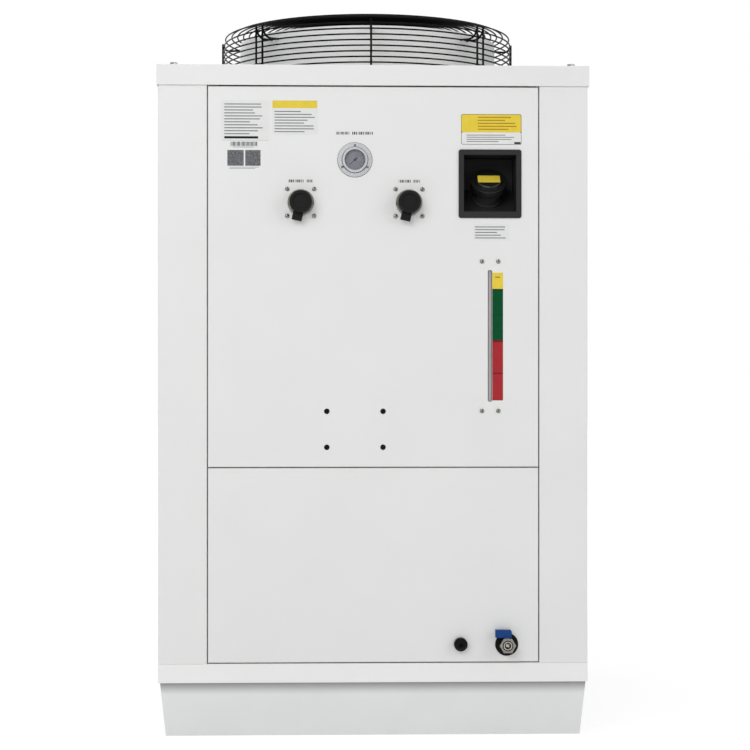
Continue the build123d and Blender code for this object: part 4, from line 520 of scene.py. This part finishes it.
# %% [markdown]
# An upright starts as a small circle, the wire's cross-section. Extruding it makes a straight
# run and spinning it makes a bend, so the wire is drawn the way a bending jig works. A pair of
# uprights is one wire: it comes down, runs out along the deck, goes round the screw and back up.
# Half of it is drawn, from the loop's middle, and the Mirror modifier makes the other half.

# %% Upright wires
def section(place, turn):
    """The round section of a wire, ready to be extruded."""
    start_fresh()
    bpy.ops.mesh.primitive_circle_add(vertices=10, radius=mm(UPRIGHT / 2), fill_type="NGON",
                                      location=mm(*place), rotation=turn)
    wire = bpy.context.object
    settle(wire)
    bpy.ops.object.mode_set(mode="EDIT")
    bpy.ops.mesh.select_all(action="SELECT")
    return wire


def run(x, y, z):
    """A straight length of wire, by its move in millimetres."""
    bpy.ops.mesh.extrude_region_move(TRANSFORM_OT_translate={"value": mm(x, y, z)})


def bend(centre, axis, degrees, steps):
    """A bend about a centre in millimetres."""
    bpy.ops.mesh.spin(steps=steps, angle=radians(degrees), center=mm(*centre), axis=axis)


over_top = (INNER_RING + SHOULDER_BEND - DRUM, 0, CROWN - SHOULDER - SHOULDER_BEND)
UPRIGHT_FOOT = LOWEST_RING - 2
single = section((DRUM, 0, UPRIGHT_FOOT), (0, 0, 0))
run(0, 0, SHOULDER - UPRIGHT_FOOT)
bend((DRUM - SHOULDER_BEND, 0, SHOULDER), (0, 1, 0), -90, 8)
run(*over_top)
bpy.ops.object.mode_set(mode="OBJECT")
whole(single)
print("single upright reaches", [round(max(v.co[i] for v in single.data.vertices), 4)
                                for i in range(3)])

# %% The paired upright with its foot loop
LOOP = 8.57
LOOP_CENTRE = 297.0
FOOT = DECK + UPRIGHT / 2
FOOT_BEND = 4
pair = section((LOOP_CENTRE + LOOP, 0, FOOT), (radians(90), 0, 0))
bend((LOOP_CENTRE, 0, FOOT), (0, 0, 1), 90, 8)
run(DRUM + FOOT_BEND - LOOP_CENTRE, 0, 0)
bend((DRUM + FOOT_BEND, LOOP, FOOT + FOOT_BEND), (0, 1, 0), 90, 5)
run(0, 0, SHOULDER - FOOT - FOOT_BEND)
bend((DRUM - SHOULDER_BEND, LOOP, SHOULDER), (0, 1, 0), -90, 8)
run(*over_top)
bpy.ops.object.mode_set(mode="OBJECT")
choose(pair, lambda centre, normal: abs(centre.y) < 1e-5 and abs(normal.y) > 0.9)
bpy.ops.mesh.delete(type="ONLY_FACE")
bpy.ops.object.mode_set(mode="OBJECT")
mirror = pair.modifiers.new("other half", "MIRROR")
mirror.use_axis = (False, True, False)
mirror.merge_threshold = 0.0001
only(pair)
bpy.ops.object.modifier_apply(modifier=mirror.name)
whole(pair)
print("pair reaches", [round(max(v.co[i] for v in pair.data.vertices), 4) for i in range(3)])

# %% [markdown]
# Four single uprights stand at the quarters and four pairs between them. Rings and uprights are
# joined into one piece, as the welded guard is one, and it stands in for the plainer one.

# %% The whole guard
singles = copies_at(single, [Matrix.Rotation(radians(a), 4, "Z") for a in (0, 90, 180, 270)])
pairs = copies_at(pair, [Matrix.Rotation(radians(a + 45), 4, "Z") for a in (0, 90, 180, 270)])
guard = joined([singles, *wires, pairs])
guard.location.y += mm(FAN_Y)
hand_over(guard, "guard_wires", wire_paint, "cabinet")
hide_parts("fan_guard")

# %% [markdown]
# ## Turned pieces
# Screw heads, washers and nuts are all turned on a lathe, so they are drawn like that too: half
# of the outline, point by point, then spun a full turn about its axis. The helper leaves the
# piece standing on the origin with its axis up, and a matrix carries it to its place.

# %% A lathe
def turned(outline, steps):
    """Spin an outline of (radius, height) points in millimetres about the Z axis."""
    start_fresh()
    bpy.ops.mesh.primitive_plane_add(size=0.001)
    piece = bpy.context.object
    bpy.ops.object.mode_set(mode="EDIT")
    bpy.ops.mesh.select_mode(type="VERT")
    bpy.ops.mesh.select_all(action="SELECT")
    bpy.ops.mesh.merge(type="CENTER")
    bpy.ops.mesh.select_all(action="SELECT")
    bpy.ops.transform.translate(value=mm(outline[0][0], 0, outline[0][1]))
    for before, after in zip(outline, outline[1:]):
        bpy.ops.mesh.extrude_region_move(
            TRANSFORM_OT_translate={"value": mm(after[0] - before[0], 0, after[1] - before[1])})
    bpy.ops.mesh.select_all(action="SELECT")
    bpy.ops.mesh.spin(steps=steps, angle=2 * pi, center=(0, 0, 0), axis=(0, 0, 1))
    bpy.ops.object.mode_set(mode="OBJECT")
    whole(piece)
    return piece


def towards(x, y, z, outward):
    """A matrix that stands a piece at a place in millimetres, its own Z along a direction."""
    turn = Vector((0, 0, 1)).rotation_difference(Vector(outward)).to_matrix().to_4x4()
    return Matrix.Translation(mm(x, y, z)) @ turn


SERVICE = (0, -1, 0)
UP = (0, 0, 1)

# %% [markdown]
# ## Small screws
# The port flanges and the level channel are held by pan-head screws with a cross recess. The head
# is a low dome. The recess is cut with a Boolean modifier by a cross of two tapered bars.

# %% Pan-head screws
def cross_cutter(width, length, depth, top):
    """A cross of two tapered bars, for the recess of a screw head."""
    arms = []
    for turn in (0, 90):
        start_fresh()
        bpy.ops.mesh.primitive_cube_add(size=1, location=mm(0, 0, top - depth / 2 + 0.5),
                                        rotation=(0, 0, radians(turn)))
        bar = bpy.context.object
        bar.scale = mm(length, width, depth + 1)
        settle(bar)
        choose(bar, lambda centre, normal: normal.z < -0.9)
        bpy.ops.transform.resize(value=(0.4, 0.4, 1))
        bpy.ops.object.mode_set(mode="OBJECT")
        arms.append(bar)
    carve(arms[0], arms[1], "UNION")
    return arms[0]


def carve(piece, tool, how="DIFFERENCE"):
    """Cut a tool out of a piece, or add it, with an applied Boolean modifier."""
    cut = piece.modifiers.new("carve", "BOOLEAN")
    cut.operation = how
    cut.object = tool
    only(piece)
    bpy.ops.object.modifier_apply(modifier=cut.name)
    bpy.data.objects.remove(tool, do_unlink=True)


def pan_screw():
    """A low domed head with a cross recess."""
    head = turned([(0, -0.3), (4.0, -0.3), (4.0, 0.6), (3.6, 1.6), (2.6, 2.3), (1.3, 2.6),
                   (0, 2.7)], 20)
    carve(head, cross_cutter(0.9, 4.4, 1.5, 2.7))
    return head


PORT_SCREW = 24.0
port_spots = [(x + dx, PORT_HEIGHT + dz) for x in PORTS for dx in (-PORT_SCREW, PORT_SCREW)
              for dz in (-PORT_SCREW, PORT_SCREW)]
LEVEL_SCREW = 14.5
LEVEL_SCREW_HEIGHTS = (578.2, 844.5)
level_spots = [(LEVEL_X + dx, z) for dx in (-LEVEL_SCREW, LEVEL_SCREW)
               for z in LEVEL_SCREW_HEIGHTS]
screws = copies_at(pan_screw(), [towards(x, FACE, z, SERVICE) @ Matrix.Rotation(i * 0.7, 4, "Z")
                                 for i, (x, z) in enumerate(port_spots + level_spots)])
hand_over(screws, "panel_screws", worn_nickel, "cabinet")

# %% [markdown]
# ## Deck bolts and guard screws
# Four hexagon bolts with washers hold the cover on the posts. Four domed screws on wide washers
# hold the guard's loops. The hexagon is a six-sided cylinder whose top edge is bevelled, as a
# forged bolt's is.

# %% Hexagon bolts
WASHER_SHEET = 1.6


def hex_bolt(flats, height, washer):
    """A hexagon head on a round washer, by its sizes in millimetres."""
    start_fresh()
    bpy.ops.mesh.primitive_cylinder_add(vertices=6, radius=mm(flats / 2 / cos(radians(30))),
                                        depth=mm(height),
                                        location=mm(0, 0, WASHER_SHEET + height / 2))
    head = bpy.context.object
    settle(head)
    choose(head, lambda a, b: min(a.z, b.z) > mm(WASHER_SHEET + height - 0.1), "EDGE")
    bpy.ops.mesh.bevel(offset=mm(0.9), segments=2, affect="EDGES")
    bpy.ops.object.mode_set(mode="OBJECT")
    rim = washer / 2
    ring = turned([(0, 0), (rim, 0), (rim, WASHER_SHEET - 0.3), (rim - 0.3, WASHER_SHEET),
                   (0, WASHER_SHEET)], 32)
    return joined([head, ring])


BOLT_X = 356.05
BOLT_Y = 421.05
corners = [(sx * BOLT_X, FAN_Y + sy * BOLT_Y) for sx in (-1, 1) for sy in (-1, 1)]
bolts = copies_at(hex_bolt(13.0, 5.5, 16.0),
                  [towards(x, y, DECK, UP) @ Matrix.Rotation(0.4 * i, 4, "Z")
                   for i, (x, y) in enumerate(corners)])
hand_over(bolts, "cover_bolts", zinc, "cabinet")

# %% [markdown]
# A guard screw is turned in one outline: the flat washer, then the domed head.

# %% Guard screws
def dome_screw():
    """A high domed head on a wide washer."""
    return turned([(0, 0), (8.4, 0), (8.4, 1.2), (8.1, 1.5), (5.9, 1.6), (5.8, 2.6), (4.9, 4.2),
                   (2.9, 5.2), (0, 5.5)], 28)


loops = [(cos(radians(a)) * LOOP_CENTRE, FAN_Y + sin(radians(a)) * LOOP_CENTRE)
         for a in (45, 135, 225, 315)]
guard_screws = copies_at(dome_screw(), [towards(x, y, DECK + UPRIGHT, UP) for x, y in loops])
hand_over(guard_screws, "guard_screws", zinc, "cabinet")

# %% [markdown]
# ## Films and stickers
# A sticker is a plane with rounded corners, extruded by the thickness of the film, a tenth of a
# millimetre. Nothing is written on them: each is a field of colour, and where the real one is
# printed, a few plain bars stand for the lines. A film on top of another is lifted by one
# film's thickness.

# %% A film helper
FILM = 0.12
PRINT = 0.04


def face_plane(x, y, z, width, height):
    """A flat plane that faces the service side, left in edit mode."""
    start_fresh()
    bpy.ops.mesh.primitive_plane_add(size=1, rotation=(radians(90), 0, 0), location=mm(x, y, z))
    piece = bpy.context.object
    piece.scale = mm(width, height, 1000)
    settle(piece)
    bpy.ops.object.mode_set(mode="EDIT")
    bpy.ops.mesh.select_all(action="SELECT")
    return piece


def film(name, left, right, low, high, material, lift=0.0, corner=0.6):
    """A film on the service face, by its edges in millimetres."""
    piece = face_plane((left + right) / 2, FACE - lift, (low + high) / 2, right - left, high - low)
    if corner:
        bpy.ops.mesh.bevel(offset=mm(corner), segments=4, affect="VERTICES")
    thickened(0, -FILM, 0)
    whole(piece)
    hand_over(piece, name, material, "cabinet", smooth=0)


# %% [markdown]
# The level scale has a yellow, a green and a red band. A darker line lies across each join and
# near the middle of the lower two, and a small brown mark on the yellow one.

# %% The level scale beside the slot
SCALE = (211.9, 231.0)
film("scale_yellow", *SCALE, 795.7, 824.5, yellow_vinyl, corner=0.3)
film("scale_green", *SCALE, 702.8, 795.6, green_vinyl, corner=0)
film("scale_red", *SCALE, 596.8, 702.7, red_vinyl, corner=0.3)
film("scale_mark", 217.0, 225.5, 815.4, 817.6, brown_ink, FILM, 0)
for name, low, high, shade in (("scale_line_green", 748.6, 750.6, dark_green_ink),
                               ("scale_line_red", 644.2, 646.4, dark_red_ink),
                               ("scale_edge_green", 792.4, 795.6, dark_green_ink),
                               ("scale_edge_red", 700.8, 704.6, dark_red_ink)):
    film(name, *SCALE, low, high, shade, FILM, 0)

# %% [markdown]
# The plates near the top are plain white films with a colour band and grey bars. The bars are
# made once as a row of unequal lengths, so that they read as printed lines from a distance.
# Upright ones in a row stand for the small print over the gauge and the ports.

# %% Rows of printed bars
def bars(name, left, right, low, high, rows, lift, material=None, upright=False):
    """Rows of thin bars that stand for lines of print, or a row of upright ones side by side."""
    pieces = []
    pitch = (right - left if upright else high - low) / rows
    for row in range(rows):
        share = 0.62 + 0.38 * abs(sin(row * 2.3 + left))
        width, height = (right - left) * share, pitch * 0.34
        x, z = left + width / 2, high - pitch * (row + 0.5)
        if upright:
            width, height = pitch * (1.3 * share - 0.6), high - low
            x, z = left + pitch * (row + 0.5), (low + high) / 2
        pieces.append(face_plane(x, FACE - lift - PRINT, z, width, height))
        thickened(0, PRINT, 0)
    piece = joined(pieces)
    whole(piece)
    hand_over(piece, name, material or grey_ink, "cabinet", smooth=0)


# %% [markdown]
# Each plate is a base film, given by its edges, with bands and bars laid over it.

# %% The plates
film("plate_left", -270.6, -184.9, 1060.6, 1129.9, white_vinyl, corner=2.0)
bars("plate_left_lines", -265.0, -197.0, 1068.0, 1126.0, 11, FILM)
film("plate_left_foot", -265.0, -205.0, 1062.2, 1066.2, ink, FILM, 0)
bars("plate_left_border", -268.6, -186.9, 1058.6, 1059.8, 1, 0.0)
film("code_bars_field", -256.0, -204.5, 1045.0, 1057.3, white_vinyl, corner=0.8)
bars("code_bars", -254.0, -206.5, 1049.0, 1056.5, 22, FILM, ink, upright=True)
bars("code_bars_foot", -250.0, -212.0, 1046.0, 1048.2, 1, FILM)
film("square_field_left", -259.6, -230.6, 1013.8, 1041.7, speckled_ink, corner=0.4)
film("square_field_right", -227.8, -200.7, 1013.8, 1041.7, speckled_ink, corner=0.4)
bars("square_caption", -256.0, -204.0, 1008.0, 1012.4, 2, 0.0)
film("plate_second", -180.8, -99.0, 1069.0, 1131.0, white_vinyl, corner=2.0)
film("plate_second_head", -179.6, -100.2, 1116.5, 1129.8, yellow_vinyl, FILM, 1.0)
bars("plate_second_lines", -176.0, -104.0, 1072.0, 1113.0, 8, FILM)
film("plate_right", 156.3, 263.9, 1052.8, 1107.0, ink, corner=3.0)
film("plate_right_white", 157.0, 263.2, 1053.5, 1074.6, white_vinyl, FILM, 2.4)
film("plate_right_yellow", 157.0, 263.2, 1074.6, 1106.3, yellow_vinyl, FILM, 2.4)
bars("plate_right_lines", 166.0, 252.0, 1056.5, 1071.5, 4, 2 * FILM)
bars("plate_right_dark_lines", 186.0, 256.0, 1077.5, 1104.0, 5, 2 * FILM, brown_ink)
film("plate_right_patch", 251.0, 262.4, 1054.0, 1057.4, ink, 2 * FILM, 0.3)
film("plate_low", 178.0, 242.5, 882.0, 911.0, white_vinyl, corner=1.5)
for name, left, right, low in (("gauge_caption_start", -66.5, -42.5, 1069.8),
                               ("gauge_caption_end", -38.5, -0.5, 1069.8),
                               ("outlet_caption_start", -151.5, -123.5, 984.6),
                               ("outlet_caption_end", -119.5, -108.0, 984.6),
                               ("inlet_caption_start", 44.0, 67.0, 984.6),
                               ("inlet_caption_end", 71.0, 83.0, 984.6)):
    bars(name, left, right, low, low + 5.0, 12 if "gauge" in name else 8, 0.0, ink, upright=True)
bars("plate_low_lines", 181.0, 236.0, 884.0, 908.5, 5, FILM)

# %% [markdown]
# ## The gauge's face
# The dial carries a sweep of graduations over three quarters of a turn. One small bar is the
# pattern, and copies of it are turned about the dial's centre, every fifth one longer.

# %% Dial graduations
DIAL_MARKS = 17.2
SWEEP = 270.0
FINE_STEPS = 50


def graduation(length, width):
    """One bar of the scale, standing at the dial's edge and narrower towards the centre."""
    start_fresh()
    bpy.ops.mesh.primitive_cube_add(size=1, location=mm(0, DIAL_MARKS - length / 2, 0.05))
    mark = bpy.context.object
    mark.scale = mm(width, length, 0.1)
    settle(mark)
    choose(mark, lambda centre, normal: normal.y < -0.9)
    bpy.ops.transform.resize(value=(0.7, 1, 1))
    bpy.ops.object.mode_set(mode="OBJECT")
    return mark


dial_place = towards(CENTRE_LINE, FACE, GAUGE_HEIGHT, SERVICE)
marks = {True: [], False: []}
for step in range(FINE_STEPS + 1):
    turn = radians(SWEEP * step / FINE_STEPS - SWEEP / 2)
    marks[step % 5 == 0].append(dial_place @ Matrix.Rotation(turn, 4, "Z"))
fine_marks = copies_at(graduation(1.6, 0.25), marks[False])
long_marks = copies_at(graduation(3.0, 0.5), marks[True])
hand_over(joined([fine_marks, long_marks]), "dial_marks", ink, "cabinet",
          smooth=0)

# %% [markdown]
# Three dark rings finish the gauge. One is painted shade, a black ring where the shadow gap
# between the dial and its case falls. One is the gasket between the bezel and the flange, partly
# real and partly painted shadow, since its black also stands for the shadow line round the bezel.
# One is painted shadow, a black ring where the shade under the flange's edge falls. Three small
# screws hold the flange.

# %% Gauge rings and screws
# A black ring painted as the shade in the gap round the dial's edge.
dial_shadow_ring = turned([(17.7, 0.05), (17.7, 0.35), (18.3, 0.35), (18.3, 0.05), (17.7, 0.05)], 64)
dial_shadow_ring.matrix_world = dial_place
# The gasket's black also paints the shadow line round the bezel.
gasket = turned([(22.7, 1.5), (22.7, 2.1), (23.3, 2.1), (23.7, 1.5), (22.7, 1.5)], 64)
gasket.matrix_world = dial_place
hand_over(dial_shadow_ring, "dial_edge_shadow", ink, "cabinet")
hand_over(gasket, "gauge_gasket", rubber, "cabinet")
# A black ring painted as the shadow under the flange's edge.
flange_shadow_ring = turned([(30.3, 0.0), (30.3, 0.5), (31.0, 0.5), (31.2, 0.0), (30.3, 0.0)], 64)
flange_shadow_ring.matrix_world = dial_place
hand_over(flange_shadow_ring, "gauge_flange_shadow", rubber, "cabinet")
small = turned([(0, 1.2), (2.3, 1.2), (2.3, 1.9), (1.7, 2.6), (0.8, 2.9), (0, 3.0)], 16)
carve(small, cross_cutter(0.6, 2.6, 0.9, 3.0))
flange_screws = copies_at(small, [dial_place @ Matrix.Rotation(radians(a), 4, "Z")
                                  @ Matrix.Translation(mm(26.0, 0, 0)) for a in (90, 210, 330)])
hand_over(flange_screws, "gauge_screws", worn_nickel, "cabinet")

# %% [markdown]
# ## Details on the moving pieces
# The fill cap has a yellow film on its grip. The film lies on the slope of the cap's face and
# rides on the cap's body, so it moves with it.

# %% Cap film
SLOPE = (207.7, FACE + 56.0, 960.3)
CAP_FACE = 47.3
slope_out = Vector((0, -1, 1)).normalized()
cap_face = Vector(SLOPE) + slope_out * CAP_FACE
start_fresh()
bpy.ops.mesh.primitive_plane_add(size=1)
cap_film = bpy.context.object
cap_film.scale = mm(40.0, 19.0, 1000)
settle(cap_film)
bpy.ops.object.mode_set(mode="EDIT")
bpy.ops.mesh.select_all(action="SELECT")
bpy.ops.mesh.bevel(offset=mm(1.0), segments=3, affect="VERTICES")
thickened(0, 0, 0.2)
whole(cap_film)
cap_film.matrix_world = Matrix.Translation(mm(*cap_face)) @ Matrix.Rotation(radians(45), 4, "X")
hand_over(cap_film, "cap_film", yellow_vinyl, "fill_cap_body", smooth=0)

# %% [markdown]
# The drain's mouth has a bright rolled edge and a dark groove round it. A dome-headed screw holds
# the blue lever. It stands on the lever's top and rides on the lever's body.

# %% The drain's mouth and lever screw
for name, inner, outer, proud, material in (("drain_mouth_edge", 6.1, 7.4, 0.5, nickel),
                                            ("drain_mouth_groove", 7.6, 9.4, 0.15, ink)):
    ring = turned([(inner, 0), (inner, proud), (outer, proud), (outer, 0), (inner, 0)], 32)
    ring.matrix_world = towards(DRAIN_X, DRAIN_MOUTH, DRAIN_HEIGHT, SERVICE)
    hand_over(ring, name, material, "cabinet")

lever_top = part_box("drain_lever")[1][2]
lever_screw = turned([(0, -0.2), (3.4, -0.2), (3.4, 0.5), (2.8, 1.1), (1.4, 1.5), (0, 1.6)], 20)
lever_screw.matrix_world = Matrix.Translation((mm(DRAIN_X), mm(LEVER_TURN_Y), lever_top))
hand_over(lever_screw, "lever_screw", nickel, "drain_handle")

# %% [markdown]
# ## The controller's front
# The control face has a display window and a row of flat keys. The window is a thin plate in the
# moulded pocket, and a key is a cube with rounded edges.

# %% Display and keys
POCKET = CONTROL_FACE + 6.75
DISPLAY_HEIGHT = 1014.0
KEY_HEIGHT = 978.0
start_fresh()
bpy.ops.mesh.primitive_cube_add(size=1, location=mm(0, POCKET + 0.15, DISPLAY_HEIGHT))
window = bpy.context.object
window.scale = mm(85.0, 0.6, 39.0)
settle(window)
choose(window, lambda centre, normal: normal.y > 0.9)
bpy.ops.mesh.inset(thickness=mm(1.5), depth=0)
bpy.ops.object.mode_set(mode="OBJECT")
hand_over(window, "display_window", display_film, "cabinet", smooth=0)


def key():
    """A flat key with rounded edges."""
    start_fresh()
    bpy.ops.mesh.primitive_cube_add(size=1)
    cap = bpy.context.object
    cap.scale = mm(11.0, 3.0, 9.0)
    settle(cap)
    bpy.ops.object.mode_set(mode="EDIT")
    bpy.ops.mesh.select_all(action="SELECT")
    bpy.ops.mesh.bevel(offset=mm(1.0), segments=3, affect="EDGES")
    bpy.ops.object.mode_set(mode="OBJECT")
    return cap


keys = copies_at(key(), [Matrix.Translation(mm(x, POCKET, KEY_HEIGHT))
                         for x in (-44, -22, 0, 22, 44)])
hand_over(keys, "controller_keys", grey_ink, "cabinet")

# %% [markdown]
# ## Floor, light and camera
# The photograph is a catalogue picture: the machine stands on white, lit softly from all round
# with a little more from the front and above. The floor is pale and keeps the machine's shadow,
# and for the camera and for reflections it glows more and more with distance, so that it meets
# the white background without a horizon. Camera rays and rays through glass see a full white
# world, all other rays a dimmer one.

# %% Floor and background
floor_paint = bpy.data.materials.new("studio floor, pale")
tree = fresh_tree(floor_paint)
eye = add_node(tree, "LightPath")
seen = add_node(tree, "Math", {"operation": "MAXIMUM"}, eye.outputs["Is Camera Ray"],
                eye.outputs["Is Glossy Ray"])
away = add_node(tree, "VectorMath", {"operation": "LENGTH"},
                add_node(tree, "TexCoord").outputs["Object"])
share = add_node(tree, "MapRange", {"From Min": 0.8, "From Max": 1.9, "To Min": 0.74,
                                    "To Max": 1.0, "interpolation_type": "SMOOTHSTEP"},
                 Value=away.outputs["Value"])
glowing = add_node(tree, "Math", {"operation": "MULTIPLY"}, seen.outputs[0],
                   share.outputs["Result"])
matt = add_node(tree, "BsdfDiffuse", {"Color": (0.86, 0.86, 0.86, 1)})
glow = add_node(tree, "Emission", {"Color": (1, 1, 1, 1), "Strength": 1.12})
both = add_node(tree, "MixShader", None, glowing.outputs[0], matt.outputs[0], glow.outputs[0])
add_node(tree, "OutputMaterial", Surface=both.outputs[0])
start_fresh()
bpy.ops.mesh.primitive_plane_add(size=40, location=(0, 0, 0))
floor = bpy.context.object
floor.name = "studio_floor"
floor.data.materials.append(floor_paint)

sky = bpy.data.worlds.new("studio white")
bpy.context.scene.world = sky
tree = fresh_tree(sky)
eye = add_node(tree, "LightPath")
direct = add_node(tree, "Math", {"operation": "MAXIMUM"}, eye.outputs["Is Camera Ray"],
                  eye.outputs["Is Transmission Ray"])
dim = add_node(tree, "Background", {"Color": (0.96, 0.98, 1.0, 1), "Strength": 0.46})
white = add_node(tree, "Background", {"Color": (1, 1, 1, 1), "Strength": 1.0})
both = add_node(tree, "MixShader", None, direct.outputs[0], dim.outputs[0], white.outputs[0])
add_node(tree, "OutputWorld", Surface=both.outputs[0])
print("floor and sky ready")

# %% [markdown]
# Four softboxes light the machine. Each is a large rectangle aimed at it, so shadows stay soft.

# %% Lamps
def soft_lamp(name, place, aim, size, watts):
    """A rectangular lamp at a place in metres, aimed at a point."""
    lamp = bpy.data.lights.new(name, "AREA")
    lamp.shape = "RECTANGLE"
    lamp.size, lamp.size_y = size
    lamp.energy = watts
    holder = bpy.data.objects.new(name, lamp)
    bpy.context.collection.objects.link(holder)
    holder.location = place
    holder.rotation_euler = (Vector(aim) - Vector(place)).to_track_quat("-Z", "Y").to_euler()


soft_lamp("front softbox", (-1.4, -3.6, 2.4), (0, -0.3, 0.6), (2.4, 2.0), 55)
soft_lamp("side softbox", (2.8, -2.4, 1.8), (0, 0, 0.6), (1.6, 2.2), 23)
soft_lamp("overhead softbox", (0, 0.4, 3.6), (0, 0, 1.0), (2.6, 2.6), 31)
soft_lamp("back softbox", (-1.6, 3.4, 2.2), (0, 0.3, 0.6), (2.2, 1.8), 31)

# %% [markdown]
# The camera stands about three and a half metres in front of the face, a little below half the
# machine's height and a little to its left. From there one pixel covers 1.778 mm of the face. It
# is aimed one and a half pixels to the right of the cabinet's middle.

# %% Camera
PICTURE_MM = 1.778
PICTURE_WIDTH = 750
FOCAL_PIXELS = 1950
EYE_SIDE, EYE_AWAY, EYE_HEIGHT = -0.099, 3.468, 0.6422
eye_place = Vector((EYE_SIDE, mm(FACE) - EYE_AWAY, EYE_HEIGHT))
aim_place = Vector((mm(1.5 * PICTURE_MM), mm(FACE), EYE_HEIGHT))
lens = bpy.data.cameras.new("catalogue camera")
lens.sensor_width = 36.0
lens.lens = lens.sensor_width * FOCAL_PIXELS / PICTURE_WIDTH
lens.clip_end = 100
camera = bpy.data.objects.new("catalogue camera", lens)
bpy.context.collection.objects.link(camera)
camera.location = eye_place
camera.rotation_euler = (aim_place - eye_place).to_track_quat("-Z", "Y").to_euler()
bpy.context.scene.camera = camera
bpy.context.scene.view_settings.view_transform = "Standard"
print("camera at", [round(v, 3) for v in camera.location], "lens", round(lens.lens, 1), "mm")
